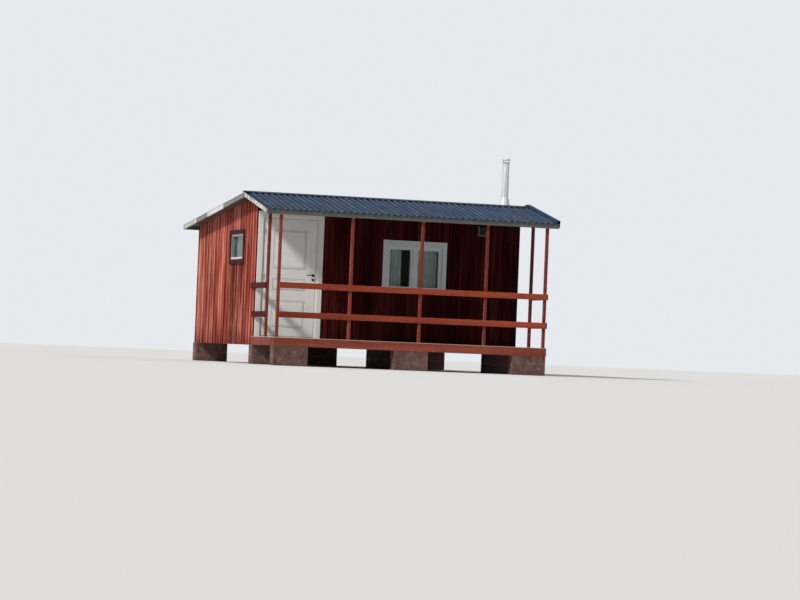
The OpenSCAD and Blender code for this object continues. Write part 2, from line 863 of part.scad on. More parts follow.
// Folded hood over a vent, open below
module wall_vent() {
    out = 60;
    t = 2;
    z0 = deck_z + vent_z;
    color("dimgray") plot()
        difference() {
            along_x(vent_x, vent_x + vent_w) polygon([
                [0, z0], [0, z0 + vent_h], [-out / 2, z0 + vent_h],
                [-out, z0 + vent_h - out / 2], [-out, z0]]);
            along_x(vent_x + t, vent_x + vent_w - t) polygon([
                [-t, z0 - 1], [-t, z0 + vent_h - t], [-out / 2, z0 + vent_h - t],
                [-out + t, z0 + vent_h - out / 2 - t / 2], [-out + t, z0 - 1]]);
        }
}

module flue_pipe() {
    z0 = roof_z(flue_y) - flue_below;
    color("silver") plot()
        translate([flue_x, flue_y, z0])
            difference() {
                cylinder(h = flue_z1 - z0, r = flue_r);
                translate([0, 0, -1]) cylinder(h = flue_z1 - z0 + 2, r = flue_r - flue_wall);
            }
}

// Flared collar on a flashing plate that lies on the ribs of the rear sheet
module flue_collar() {
    plate = flue_d + 2 * flashing_w;
    plate_t = 2;
    crest = rib_h + sheet_t;
    flare = 42;
    foot_r = flue_r + flare;
    color("silver") plot()
        difference() {
            union() {
                on_rear_slope()
                    translate([flue_x - plate / 2, flue_back / cos(rear_pitch) - plate / 2, crest])
                        cube([plate, plate, plate_t]);
                difference() {
                    translate([flue_x, flue_y, roof_z(flue_y)])
                        cylinder(h = collar_h, r1 = foot_r, r2 = flue_r + 4);
                    on_rear_slope()
                        translate([flue_x - plate, 0, crest - 2 * plate])
                            cube([2 * plate, flue_back + 2 * plate, 2 * plate]);
                }
            }
            translate([flue_x, flue_y, roof_z(flue_y) - collar_h])
                cylinder(h = 3 * collar_h, r = flue_r + seat);
        }
}

// Rain cap on three straps over the open end of the flue
module flue_cap() {
    cap_r = flue_r + 12;
    cap_t = 3;
    rim_h = 24;
    lift = 34;
    strap = [16, 2.5, 60];
    color("silver") plot()
        translate([flue_x, flue_y, flue_z1]) {
            difference() {
                translate([0, 0, lift]) cylinder(h = rim_h + cap_t, r = cap_r);
                translate([0, 0, lift - 1]) cylinder(h = rim_h + 1, r = cap_r - cap_t);
            }
            for (a = [0 : 120 : 240])
                rotate([0, 0, a])
                    translate([flue_r + seat, -strap[0] / 2, -strap[2] + lift + rim_h / 2])
                        cube([strap[1], strap[0], strap[2] + rim_h / 2 + 1]);
        }
}

piers();
joists();
deck_rim();
front_sill();
porch_deck();
cabin_floor();
front_wall_over_door();
front_wall_middle();
front_wall_window_bay();
front_wall_right();
left_wall_front();
left_wall_window_bay();
left_wall_back();
right_wall();
back_wall();
porch_rafters();
cabin_rafters();
roof_boards_front();
roof_boards_rear();
roof_sheet_front();
roof_sheet_rear();
ridge_cap();
bargeboard_left();
bargeboard_right();
fascia_front();
fascia_rear();
verge_trim();
front_posts();
end_posts();
front_rails();
left_rails();
right_rails();
door_frame();
door_casing();
door_leaf();
door_handle();
hinge_leaves();
hinge_pins();
window_frame();
window_sashes();
window_casing();
gable_window_frame();
gable_window_trim();
glass_panes();
curtain_rod();
curtains();
wall_vent();
flue_pipe();
flue_collar();
flue_cap();
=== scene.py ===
import math
import bpy
import bmesh
from mathutils import Matrix, Vector


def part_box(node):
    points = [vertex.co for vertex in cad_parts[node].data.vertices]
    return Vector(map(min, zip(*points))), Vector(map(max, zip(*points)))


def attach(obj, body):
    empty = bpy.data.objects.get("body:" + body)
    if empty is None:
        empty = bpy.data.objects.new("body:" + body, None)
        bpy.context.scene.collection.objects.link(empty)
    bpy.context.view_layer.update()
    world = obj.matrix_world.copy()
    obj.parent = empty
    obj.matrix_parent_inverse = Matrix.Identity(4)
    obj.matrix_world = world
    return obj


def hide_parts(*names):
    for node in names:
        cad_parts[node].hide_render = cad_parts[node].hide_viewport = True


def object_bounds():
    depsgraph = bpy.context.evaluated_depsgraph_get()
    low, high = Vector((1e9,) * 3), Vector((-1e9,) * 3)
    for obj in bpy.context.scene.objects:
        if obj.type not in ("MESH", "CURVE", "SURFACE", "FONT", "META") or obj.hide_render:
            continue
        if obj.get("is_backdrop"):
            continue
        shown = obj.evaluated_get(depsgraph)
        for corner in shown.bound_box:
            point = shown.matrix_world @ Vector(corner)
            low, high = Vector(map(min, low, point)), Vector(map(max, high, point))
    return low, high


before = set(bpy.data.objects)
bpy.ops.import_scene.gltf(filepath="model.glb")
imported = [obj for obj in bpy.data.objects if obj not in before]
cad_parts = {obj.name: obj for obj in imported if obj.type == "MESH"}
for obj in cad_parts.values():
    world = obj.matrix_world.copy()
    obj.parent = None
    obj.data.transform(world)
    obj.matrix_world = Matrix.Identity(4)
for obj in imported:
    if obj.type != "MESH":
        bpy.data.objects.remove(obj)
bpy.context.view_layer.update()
scene = bpy.context.scene

# Camera. It stands low and far off, left of the porch's middle, level with the foundation
# blocks, and is turned a little about its own line of sight, so the ridge falls to the right.
# The focal length, the picture's width and the offsets of its centre are in pixels.
aim = Vector((0.0554, -3.0142, 1.475))
turn, rise, roll = (math.radians(angle) for angle in (17.02, -1.271, 2.357))
distance, sight_limit = 53.42, 400.0
focal_length, picture_width = 3153.7, 800.0
centre_x, centre_y = -14.28, -16.36
sensor_width = 36.0


def axes(origin, x, y, z):
    """Matrix that lays local x, y and z along three directions from an origin."""
    return Matrix.Translation(origin) @ Matrix((x, y, z)).transposed().to_4x4()


def shown(name, data):
    """Puts a mesh, a camera or a light into the scene as an object."""
    thing = bpy.data.objects.new(name, data)
    scene.collection.objects.link(thing)
    return thing


forward = Vector((math.sin(turn) * math.cos(rise), math.cos(turn) * math.cos(rise), -math.sin(rise)))
level = Vector((math.cos(turn), -math.sin(turn), 0.0))
right = level * math.cos(roll) + level.cross(forward) * math.sin(roll)
camera_data = bpy.data.cameras.new("camera")
camera_data.lens = focal_length * sensor_width / picture_width
camera_data.shift_x = centre_x / picture_width
camera_data.shift_y = centre_y / picture_width
camera_data.clip_end = sight_limit
camera = shown("camera", camera_data)
camera.matrix_world = axes(aim - forward * distance, right, right.cross(forward), -forward)
scene.camera = camera

# Foundation piers. Nine short piers, each of two courses of rough reddish cement blocks laid
# in half bond with recessed mortar, stand on the ground and carry the rim, sill and joists.


def wired(tree, kind, plugs=None, **settings):
    """Adds a node, sets or links its inputs by name or number, and returns its first output."""
    node = tree.nodes.new(kind)
    for name, value in settings.items():
        setattr(node, name, value)
    for key, value in (plugs or {}).items():
        if isinstance(value, bpy.types.NodeSocket):
            tree.links.new(value, node.inputs[key])
        else:
            node.inputs[key].default_value = value
    return node.outputs[0] if node.outputs else None


def tree_of(values):
    """The node tree that the first socket among some values belongs to."""
    return next(value.id_data for value in values if isinstance(value, bpy.types.NodeSocket))


def maths(kind, *values):
    return wired(tree_of(values), "ShaderNodeMath", dict(enumerate(values)), operation=kind)


def times(a, b):
    return maths("MULTIPLY", a, b)


def plus(a, b):
    return maths("ADD", a, b)


def minus(a, b):
    return maths("SUBTRACT", a, b)


def vector(x=0.0, y=0.0, z=0.0):
    return wired(tree_of((x, y, z)), "ShaderNodeCombineXYZ", {0: x, 1: y, 2: z})


def xyz(place):
    """The three parts of a vector."""
    return wired(place.id_data, "ShaderNodeSeparateXYZ", {0: place}).node.outputs


def shifted(place, by):
    return wired(place.id_data, "ShaderNodeVectorMath", {0: place, 1: by}, operation="ADD")


def scaled(place, by):
    return wired(place.id_data, "ShaderNodeVectorMath", {0: place, 3: by}, operation="SCALE")


def noise(place, scale=1.0, detail=4.0, rough=0.6, twist=0.0):
    return wired(place.id_data, "ShaderNodeTexNoise",
                 {"Vector": place, "Scale": scale, "Detail": detail, "Roughness": rough, "Distortion": twist})


def shape_tree(name, sizes):
    """A Geometry Nodes tree and its named inputs, given as {name: default}; text stands for a material."""
    tree = bpy.data.node_groups.new(name, "GeometryNodeTree")
    kinds = {float: "NodeSocketFloat", int: "NodeSocketInt", str: "NodeSocketMaterial"}
    for label, value in sizes.items():
        plug = tree.interface.new_socket(name=label, in_out="INPUT", socket_type=kinds[type(value)])
        if not isinstance(value, str):
            plug.default_value = value
    tree.interface.new_socket(name="Geometry", in_out="OUTPUT", socket_type="NodeSocketGeometry")
    return tree, tree.nodes.new("NodeGroupInput").outputs


def together(first, second):
    """Two streams of geometry as one."""
    whole = wired(first.id_data, "GeometryNodeJoinGeometry", {0: first})
    first.id_data.links.new(second, whole.node.inputs[0])
    return whole


def tree_end(geometry, material=None):
    """Makes instances real, gives them a material where one is named, and ends the tree."""
    real = wired(geometry.id_data, "GeometryNodeRealizeInstances", {"Geometry": geometry})
    if material is not None:
        real = wired(real.id_data, "GeometryNodeSetMaterial", {"Geometry": real, "Material": material})
    wired(real.id_data, "NodeGroupOutput", {0: real})


def grown(name, tree, place, **sizes):
    """Runs a tree with the sizes given and returns the result as an object with a plain mesh."""
    made = shown(name, bpy.data.meshes.new(name))
    shape = made.modifiers.new("shape", "NODES")
    shape.node_group = tree
    for item in tree.interface.items_tree:
        word = item.name.replace(" ", "_").lower()
        if item.in_out == "INPUT" and word in sizes:
            shape[item.identifier] = sizes[word]
    bpy.context.view_layer.update()
    graph = bpy.context.evaluated_depsgraph_get()
    mesh = bpy.data.meshes.new_from_object(made.evaluated_get(graph), preserve_all_data_layers=True,
                                           depsgraph=graph)
    made.modifiers.remove(shape)
    made.data = mesh
    mesh.transform(place)
    if place.determinant() < 0:
        mesh.flip_normals()
    return made


def joined(name, parts):
    """Joins objects with plain meshes into one, keeping their materials and attributes."""
    if len(parts) > 1:
        with bpy.context.temp_override(active_object=parts[0], object=parts[0], selected_objects=parts,
                                       selected_editable_objects=parts):
            bpy.ops.object.join()
    parts[0].name = name
    parts[0].data.name = name
    return parts[0]


def fitted(piece, slot, *nodes, body="building"):
    """Puts a finished piece on its body and hides the CAD nodes it stands for."""
    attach(piece, body)
    if nodes:
        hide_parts(*nodes)


def finish(name, colour, rough):
    """A material, its Principled shader and its Object coordinates."""
    made = bpy.data.materials.new(name)
    made.use_nodes = True
    made.diffuse_color = (*colour, 1.0)
    shader = made.node_tree.nodes["Principled BSDF"]
    shader.inputs["Base Color"].default_value = (*colour, 1.0)
    shader.inputs["Roughness"].default_value = rough
    return made, shader, wired(made.node_tree, "ShaderNodeTexCoord").node.outputs["Object"]


def band(value, low, high, to_low=0.0, to_high=1.0):
    """Maps low..high to to_low..to_high, held at both ends."""
    return wired(value.id_data, "ShaderNodeMapRange", {0: value, 1: low, 2: high, 3: to_low, 4: to_high})


def mixed(share, first, second):
    """Turns the first colour into the second by a share from 0 to 1."""
    plugs = {0: share}
    for number, colour in ((6, first), (7, second)):
        plugs[number] = colour if isinstance(colour, bpy.types.NodeSocket) else (*colour, 1.0)
    return wired(share.id_data, "ShaderNodeMix", plugs, data_type="RGBA").node.outputs[2]


def tinted(shader, tone, rough=None):
    """Links a shader's colour, and its roughness where that changes too."""
    shader.id_data.links.new(tone, shader.inputs["Base Color"])
    if rough is not None:
        shader.id_data.links.new(rough, shader.inputs["Roughness"])


def raised(shader, height, depth, strength=1.0):
    """Gives a shader a fine relief."""
    tree = shader.id_data
    bump = wired(tree, "ShaderNodeBump", {"Strength": strength, "Distance": depth, "Height": height})
    tree.links.new(bump, shader.inputs["Normal"])


# block courses: a block is half as long as the pier, and every other course is drawn back by half a block
course_tree, size = shape_tree("block_courses", {
    "Length": 0.7, "Depth": 0.24, "Height": 0.33, "Courses": 2, "Joint": 0.01, "Recess": 0.012,
    "Rough": 0.004, "Seed": 1, "Stone": "", "Mortar": ""})
tree = course_tree
per_course, block_share, shortest, seed_step = 3.0, 0.5, 0.02, 1.7
index = wired(tree, "GeometryNodeInputIndex")
block = maths("MODULO", index, per_course)
course = maths("FLOOR", maths("DIVIDE", index, per_course))
back = times(maths("MODULO", course, 2.0), block_share / 2)
start = maths("MAXIMUM", minus(times(block, block_share), back), 0.0)
stop = maths("MINIMUM", minus(maths("MULTIPLY_ADD", block, block_share, block_share), back), 1.0)
run = times(minus(stop, start), size["Length"])
tall = maths("DIVIDE", size["Height"], size["Courses"])
spots = wired(tree, "GeometryNodePoints", {
    "Count": times(size["Courses"], per_course),
    "Position": vector(times(start, size["Length"]), 0.0, times(course, tall))})
unit = wired(tree, "GeometryNodeMeshCube", {"Vertices X": 13, "Vertices Y": 6, "Vertices Z": 7})
unit = wired(tree, "GeometryNodeTransform", {"Geometry": unit, "Translation": (0.5, 0.5, 0.5)})
laid = wired(tree, "GeometryNodeInstanceOnPoints", {
    "Points": spots, "Instance": unit, "Selection": maths("GREATER_THAN", run, shortest),
    "Scale": vector(minus(run, size["Joint"]), size["Depth"], minus(tall, size["Joint"]))})
laid = wired(tree, "GeometryNodeRealizeInstances", {"Geometry": laid})
own_place = vector(times(size["Seed"], seed_step))
where = shifted(wired(tree, "GeometryNodeInputPosition"), own_place)
dents = times(times(noise(where, 22.0, 5.0, 0.7), size["Rough"]), -2.0)
inward = scaled(wired(tree, "GeometryNodeInputNormal"), dents)
laid = wired(tree, "GeometryNodeSetPosition", {"Geometry": laid, "Offset": inward})
half_joint = times(size["Joint"], 0.5)
inset = vector(half_joint, 0.0, half_joint)
laid = wired(tree, "GeometryNodeTransform", {"Geometry": laid, "Translation": inset})
laid = wired(tree, "GeometryNodeSetMaterial", {"Geometry": laid, "Material": size["Stone"]})
recesses = times(size["Recess"], 2.0)
core = wired(tree, "GeometryNodeMeshCube", {
    "Size": vector(minus(size["Length"], recesses), minus(size["Depth"], recesses), size["Height"])})
middle = vector(*(times(size[side], 0.5) for side in ("Length", "Depth", "Height")))
core = wired(tree, "GeometryNodeTransform", {"Geometry": core, "Translation": middle})
core = wired(tree, "GeometryNodeSetMaterial", {"Geometry": core, "Material": size["Mortar"]})
tree_end(together(core, laid))

# rough cement faces, reddish with pale lime blooms, darker and damp at the foot
stone, shader, place = finish("rough_cement_blocks", (0.20, 0.11, 0.09), 0.95)
damp_height = 0.10
blotches = band(noise(place, 5.0, 6.0, 0.7, 0.8), 0.38, 0.62)
lime = band(noise(place, 9.0, 4.0, 0.8, 1.5), 0.56, 0.68, 0.0, 0.6)
pits = noise(place, 60.0, 3.0, 0.75)
tone = mixed(blotches, (0.085, 0.034, 0.026), (0.19, 0.10, 0.08))
tone = mixed(lime, tone, (0.36, 0.30, 0.27))
tone = mixed(band(xyz(place)[2], 0.0, damp_height, 0.6, 0.0), tone, (0.07, 0.05, 0.04))
tinted(shader, mixed(band(pits, 0.3, 0.7, 0.35, 0.0), tone, (0.05, 0.03, 0.025)))
raised(shader, pits, 0.004, 0.9)
mortar, shader, place = finish("grey_mortar", (0.20, 0.17, 0.15), 0.95)
raised(shader, noise(place, 90.0, 3.0), 0.002)

pier_low, pier_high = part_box("piers")
sill_low, sill_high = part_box("front_sill")
pier_width, pier_depth = 0.610, 0.240
pier_step = (pier_high.x - pier_low.x - pier_width) / 2
pier_rows = (pier_low.y, (sill_low.y + sill_high.y - pier_depth) / 2, pier_high.y - pier_depth)
piers = []
for column in range(3):
    for row, y in enumerate(pier_rows):
        spot = Matrix.Translation((pier_low.x + column * pier_step, y, 0.0))
        piers.append(grown("pier", course_tree, spot, length=pier_width, depth=pier_depth, height=pier_high.z,
                           courses=2, joint=0.010, recess=0.012, rough=0.004, seed=3 * column + row,
                           stone=stone, mortar=mortar))
fitted(joined("block_piers", piers), "block_stone", "piers")

# Timber frame. Sawn softwood joists, the sill under the front wall and the rafters of both
# slopes, brown with age and nailed together, in the shade under the floor and the roof.


def effect(name, inputs, outputs):
    """A shader node group and its named inputs, given as {name: default}; it puts out numbers."""
    tree = bpy.data.node_groups.new(name, "ShaderNodeTree")
    for label, value in inputs.items():
        kind = "NodeSocketFloat" if isinstance(value, float) else "NodeSocketVector"
        plug = tree.interface.new_socket(name=label, in_out="INPUT", socket_type=kind)
        plug.default_value = value
    for label in outputs:
        tree.interface.new_socket(name=label, in_out="OUTPUT", socket_type="NodeSocketFloat")
    return tree, tree.nodes.new("NodeGroupInput").outputs


def placed(group, **plugs):
    """Places an effect in a material, with its inputs by name, and returns its outputs."""
    plugs = {name.replace("_", " ").title(): value for name, value in plugs.items()}
    return wired(tree_of(plugs.values()), "ShaderNodeGroup", plugs, node_tree=group).node.outputs


def stretched(place, by):
    """Multiplies each part of a vector by that of another."""
    return wired(place.id_data, "ShaderNodeVectorMath", {0: place, 1: by}, operation="MULTIPLY")


def clad(material, *nodes):
    """Gives a material to CAD nodes that show as they are."""
    for node in nodes:
        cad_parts[node].data.materials.clear()
        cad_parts[node].data.materials.append(material)


grain, size = effect("timber_grain", {"Vector": (0.0, 0.0, 0.0), "Stretch": (60.0, 60.0, 2.0)},
                     ("Grain", "Tone"))
fibres = stretched(size["Vector"], size["Stretch"])
wired(grain, "NodeGroupOutput", {0: noise(fibres, 1.0, 5.0, 0.65, 0.5),
                                 1: noise(scaled(fibres, 0.08), 1.0, 3.0, 0.55)})


def grained(place, along, dark, light, low=0.3, high=0.7):
    """Timber of two tones; returns the outputs of its grain, drawn out along the boards, and its colour."""
    look = placed(grain, vector=place, stretch=along)
    return look, mixed(band(look["Tone"], low, high), dark, light)


sawn, shader, place = finish("sawn_softwood", (0.36, 0.26, 0.17), 0.8)
sawn_along = (70.0, 3.0, 70.0)
look, tone = grained(place, sawn_along, (0.24, 0.17, 0.11), (0.42, 0.31, 0.20))
tinted(shader, mixed(band(look["Grain"], 0.35, 0.75, 0.0, 0.55), tone, (0.13, 0.09, 0.06)))
raised(shader, look["Grain"], 0.001, 0.6)
clad(sawn, "joists", "front_sill", "porch_rafters", "cabin_rafters")

# Deck rim. Three planed boards round the porch, painted red on their faces; the top edge,
# flush with the deck, is worn bare and bleached, and nail heads rust along the front board.
weld, flat_angle, edge_angle = 2e-5, 0.002, 0.5
along_x = (3.0, 60.0, 60.0)


def solid(name, form, smooth=False):
    """Turns a bmesh into an object with a plain mesh."""
    mesh = bpy.data.meshes.new(name)
    form.to_mesh(mesh)
    form.free()
    if smooth:
        mesh.shade_smooth()
    return shown(name, mesh)


def rounded_edges(form, edges, width, steps=2):
    """Rounds edges of a bmesh; the new faces carry 1 in the attribute 'worn'."""
    made = bmesh.ops.bevel(form, geom=edges, offset=width, segments=steps, profile=0.5, affect="EDGES",
                           clamp_overlap=True)
    worn = form.faces.layers.float["worn"]
    for face in made["faces"]:
        face[worn] = 1.0


def softened(name, node, width=0.0025, steps=2):
    """A copy of a CAD node with its edges rounded."""
    form = bmesh.new()
    form.from_mesh(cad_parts[node].data)
    form.faces.layers.float.new("worn")
    bmesh.ops.remove_doubles(form, verts=form.verts, dist=weld)
    bmesh.ops.dissolve_limit(form, angle_limit=flat_angle, verts=form.verts, edges=form.edges)
    sharp = [edge for edge in form.edges
             if len(edge.link_faces) == 2 and edge.calc_face_angle(0.0) > edge_angle]
    rounded_edges(form, sharp, width, steps)
    return solid(name, form)


def dressed(name, node, slot, material, width=0.0025, steps=2):
    """Replaces a CAD node by a copy with rounded edges and a material."""
    piece = softened(name, node, width, steps)
    piece.data.materials.append(material)
    fitted(piece, slot, node)


def attribute(tree, name):
    return wired(tree, "ShaderNodeAttribute", attribute_name=name).node.outputs["Fac"]


def darker(colour, share):
    return tuple(share * part for part in colour)


paint, size = effect("worn_paint", {"Vector": (0.0, 0.0, 0.0), "Size": 1.0, "Bare": 0.3, "Edge": 0.5},
                     ("Bare", "Dirt"))
spread = scaled(size["Vector"], size["Size"])
rubbed = times(times(attribute(paint, "worn"), size["Edge"]), 0.5)
wear = plus(plus(noise(spread, 14.0, 8.0, 0.75, 0.4), rubbed), times(size["Bare"], 0.3))
wired(paint, "NodeGroupOutput", {0: band(wear, 0.70, 0.76), 1: noise(spread, 3.0, 5.0, 0.7, 0.6)})


def red_stain(name, deep, bright, along, bare, bare_tone, gloss=0.2, top=None):
    """Red paint on timber: the grain shows through, edges and chips are bare, the top edge is bleached."""
    made, shader, place = finish(name, bright, 0.75)
    shader.inputs["Specular IOR Level"].default_value = gloss
    look, tone = grained(place, along, deep, bright, low=0.32, high=0.68)
    cover = placed(paint, vector=place, size=1.0, bare=bare, edge=0.35)
    tone = mixed(band(look["Grain"], 0.35, 0.8, 0.0, 0.45), tone, darker(deep, 0.35))
    tone = mixed(band(cover["Dirt"], 0.55, 0.75, 0.0, 0.5), tone, darker(deep, 0.5))
    tone = mixed(cover["Bare"], tone, bare_tone)
    if top is not None:
        edge = band(xyz(place)[2], top - 0.010, top - 0.002)
        tone = mixed(times(edge, band(look["Grain"], 0.25, 0.5, 0.5, 1.0)), tone, (0.55, 0.47, 0.38))
    tinted(shader, tone, band(look["Grain"], 0.3, 0.8, 0.62, 0.85))
    raised(shader, look["Grain"], 0.0008, 0.7)
    return made


deck_low, deck_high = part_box("deck_rim")
rim_red = red_stain("rim_red", (0.15, 0.027, 0.017), (0.32, 0.074, 0.046), along_x, bare=0.05,
                    bare_tone=(0.36, 0.24, 0.18), top=deck_high.z)
dressed("deck_rim_boards", "deck_rim", "red_boarding", rim_red, width=0.003)

# nail heads: low domes in rows and columns, each a little astray; screws use them too
head_tree, size = shape_tree("nail_heads", {
    "Columns": 5, "Rows": 2, "Step X": 0.6, "Step Y": 0.05, "Radius": 0.004, "Wander": 0.004, "Seed": 1,
    "Steel": ""})
tree = head_tree
dome_share = 0.35
index = wired(tree, "GeometryNodeInputIndex")
column = maths("MODULO", index, size["Columns"])
row = maths("FLOOR", maths("DIVIDE", index, size["Columns"]))
chance = wired(tree, "ShaderNodeTexWhiteNoise", {"Vector": vector(index, size["Seed"])}).node.outputs["Color"]
stray = stretched(shifted(chance, (-0.5, -0.5, -0.5)), vector(size["Wander"], size["Wander"]))
spots = wired(tree, "GeometryNodePoints", {
    "Count": times(size["Columns"], size["Rows"]),
    "Position": shifted(vector(times(column, size["Step X"]), times(row, size["Step Y"])), stray)})
dome = wired(tree, "GeometryNodeMeshUVSphere", {"Segments": 8, "Rings": 4, "Radius": 1.0})
domes = wired(tree, "GeometryNodeInstanceOnPoints", {
    "Points": spots, "Instance": dome,
    "Scale": vector(size["Radius"], size["Radius"], times(size["Radius"], dome_share))})
tree_end(domes, size["Steel"])

rust, shader, place = finish("rusty_nails", (0.16, 0.09, 0.06), 0.7)
speckle = noise(place, 300.0, 3.0)
tinted(shader, mixed(band(speckle, 0.4, 0.6), (0.20, 0.10, 0.05), (0.26, 0.25, 0.24)))
raised(shader, speckle, 0.0004)


def nails(name, origin, along, up, **sizes):
    """Rusty nail heads on a face, in columns along it and rows up it from an origin."""
    along, up = Vector(along), Vector(up)
    return grown(name, head_tree, axes(origin, along, up, along.cross(up)), steel=rust, wander=0.004, **sizes)


nail_inset, nail_height, nail_spread, nail_columns = 0.08, 0.035, 0.075, 9
nail_step = (deck_high.x - deck_low.x - 2 * nail_inset) / (nail_columns - 1)
first_nail = (deck_low.x + nail_inset, deck_low.y, deck_low.z + nail_height)
fitted(nails("rim_nails", first_nail, (1, 0, 0), (0, 0, 1), columns=nail_columns, rows=2, step_x=nail_step,
             step_y=nail_spread, radius=0.0045, seed=4), "hinge_steel")

# Porch deck and room floor. Rows of softwood boards run along the house, butted over a joist
# and nailed down; the deck is bleached grey-brown, the floor inside is worn planed pine.


def rounded_bar(width, thick, edge):
    """An upright bar one metre long with rounded long edges, to be stretched to its length."""
    tree = tree_of((width, thick, edge))
    outline = wired(tree, "GeometryNodeCurvePrimitiveQuadrilateral", {"Width": width, "Height": thick})
    outline = wired(tree, "GeometryNodeFilletCurve", {"Curve": outline, "Radius": edge, "Count": 2},
                    mode="POLY")
    foot = wired(tree, "GeometryNodeFillCurve", {"Curve": outline}, mode="NGONS")
    upright = wired(tree, "GeometryNodeExtrudeMesh",
                    {"Mesh": foot, "Offset": (0.0, 0.0, 1.0), "Individual": False})
    closed = together(upright, wired(tree, "GeometryNodeFlipFaces", {"Mesh": foot}))
    return wired(tree, "GeometryNodeMergeByDistance", {"Geometry": closed, "Distance": 0.0001})


def set_boards(spots, bar, pick, scale, key):
    """Sets a bar on each spot picked, with a number by chance for each board in the attribute 'board'."""
    tree = spots.id_data
    boards = wired(tree, "GeometryNodeInstanceOnPoints",
                   {"Points": spots, "Instance": bar, "Selection": pick, "Scale": scale})
    chance = wired(tree, "ShaderNodeTexWhiteNoise", {"Vector": key})
    numbered = {"Geometry": boards, "Name": "board", "Value": chance}
    return wired(tree, "GeometryNodeStoreNamedAttribute", numbered, data_type="FLOAT", domain="INSTANCE")


board_tree, size = shape_tree("board_rows", {
    "Length": 4.0, "Width": 1.5, "Rows": 14, "Gap": 0.005, "Thickness": 0.028, "Edge": 0.002, "Split": 0.5,
    "Stagger": 0.27, "Seed": 1, "Timber": ""})
tree = board_tree
end_gap = 0.0015
index = wired(tree, "GeometryNodeInputIndex")
pitch = maths("DIVIDE", size["Width"], size["Rows"])
bar = wired(tree, "GeometryNodeTransform", {
    "Geometry": rounded_bar(minus(pitch, size["Gap"]), size["Thickness"], size["Edge"]),
    "Rotation": (math.pi / 2, 0.0, math.pi / 2)})
# three rows in turn are butted before, past and at the split
step = minus(maths("MODULO", times(index, 2.0), 3.0), 1.0)
joint = times(maths("MULTIPLY_ADD", step, size["Stagger"], size["Split"]), size["Length"])
across = times(plus(index, 0.5), pitch)
halves = []
for side in (0.0, 1.0):
    begin = vector(times(joint, side), across, times(size["Thickness"], -0.5))
    reach = minus(size["Length"], joint) if side else joint
    rows = wired(tree, "GeometryNodePoints", {"Count": size["Rows"], "Position": begin})
    halves.append(set_boards(rows, bar, maths("GREATER_THAN", reach, shortest),
                             vector(minus(reach, end_gap), 1.0, 1.0), vector(index, side, size["Seed"])))
tree_end(together(*halves), size["Timber"])


def board_tone(tone, dark, light):
    """Gives each board its own tone, darker or lighter, by its attribute."""
    return scaled(tone, band(attribute(tone.id_data, "board"), 0.0, 1.0, dark, light))


def timber(name, dark, light, along, rough=0.8, grime=0.5):
    """Unpainted boards: two tones, dark grain, grime patches."""
    made, shader, place = finish(name, light, rough)
    look, tone = grained(place, along, dark, light)
    patches = band(noise(place, 2.2, 5.0, 0.7, 0.5), 0.5, 0.72, 0.0, grime)
    tone = mixed(band(look["Grain"], 0.38, 0.75, 0.0, 0.6), tone, darker(dark, 0.4))
    tone = mixed(patches, tone, darker(dark, 0.45))
    tinted(shader, board_tone(tone, 0.78, 1.15))
    raised(shader, look["Grain"], 0.001, 0.7)
    return made


staggered = dict(split=0.5, stagger=0.26)


def laid_boards(name, slot, node, **sizes):
    """Rows of boards that fill the box of a CAD node."""
    low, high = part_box(node)
    fitted(grown(name, board_tree, Matrix.Translation((low.x, low.y, high.z)), length=high.x - low.x,
                 width=high.y - low.y, thickness=high.z - low.z, **staggered, **sizes), slot, node)


deck_wood = timber("bleached_deck", (0.24, 0.20, 0.16), (0.42, 0.37, 0.31), along_x)
laid_boards("porch_boards", "deck_timber", "porch_deck", rows=14, gap=0.006, edge=0.003, seed=2,
            timber=deck_wood)
low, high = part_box("porch_deck")
nail_inset, first_row, sunk, nail_rows = 0.12, 0.03, 0.0005, 27
nail_step = (high.x - low.x - 2 * nail_inset) / (nail_columns - 1)
first_nail = (low.x + nail_inset, low.y + first_row, high.z - sunk)
fitted(nails("deck_nails", first_nail, (1, 0, 0), (0, 1, 0), columns=nail_columns, rows=nail_rows,
             step_x=nail_step, step_y=(high.y - low.y) / nail_rows, radius=0.004, seed=8), "hinge_steel")
floor_wood = timber("worn_floor", (0.34, 0.22, 0.12), (0.52, 0.37, 0.22), along_x, rough=0.5, grime=0.25)
laid_boards("floor_boards", "floor_timber", "cabin_floor", rows=36, gap=0.001, edge=0.001, seed=5,
            timber=floor_wood)

# Walls. Upright softwood boards with a batten nailed over every joint, painted matte red; the
# sunny gable is faded and streaked, and the front wall's red is its unfaded paint darkened as
# painted shade for the porch roof's shadow. Behind them stands the frame with its board lining.
wall_tree, size = shape_tree("upright_boards", {
    "Length": 4.0, "Low": 0.33, "High": 3.0, "Pitch": 0.2, "Phase": 0.0, "Gap": 0.004, "Edge": 0.002,
    "Board Thick": 0.022, "Batten Width": 0.045, "Batten Thick": 0.016, "Peak": 9.0, "Peak At": 0.0,
    "Fall Before": 0.0, "Fall After": 0.0, "Seed": 1, "Timber": ""})
tree = wall_tree
narrowest_board, narrowest_batten = 0.008, 0.001
index = wired(tree, "GeometryNodeInputIndex")
count = plus(maths("CEIL", maths("DIVIDE", size["Length"], size["Pitch"])), 1.0)
line = maths("MULTIPLY_ADD", minus(index, 1.0), size["Pitch"], size["Phase"])
start, stop = (maths("MINIMUM", maths("MAXIMUM", edge, 0.0), size["Length"])
               for edge in (line, plus(line, size["Pitch"])))
broad = minus(minus(stop, start), size["Gap"])
full = minus(size["Pitch"], size["Gap"])
half_batten = times(size["Batten Width"], 0.5)
within = times(maths("GREATER_THAN", line, half_batten),
               maths("LESS_THAN", line, minus(size["Length"], half_batten)))
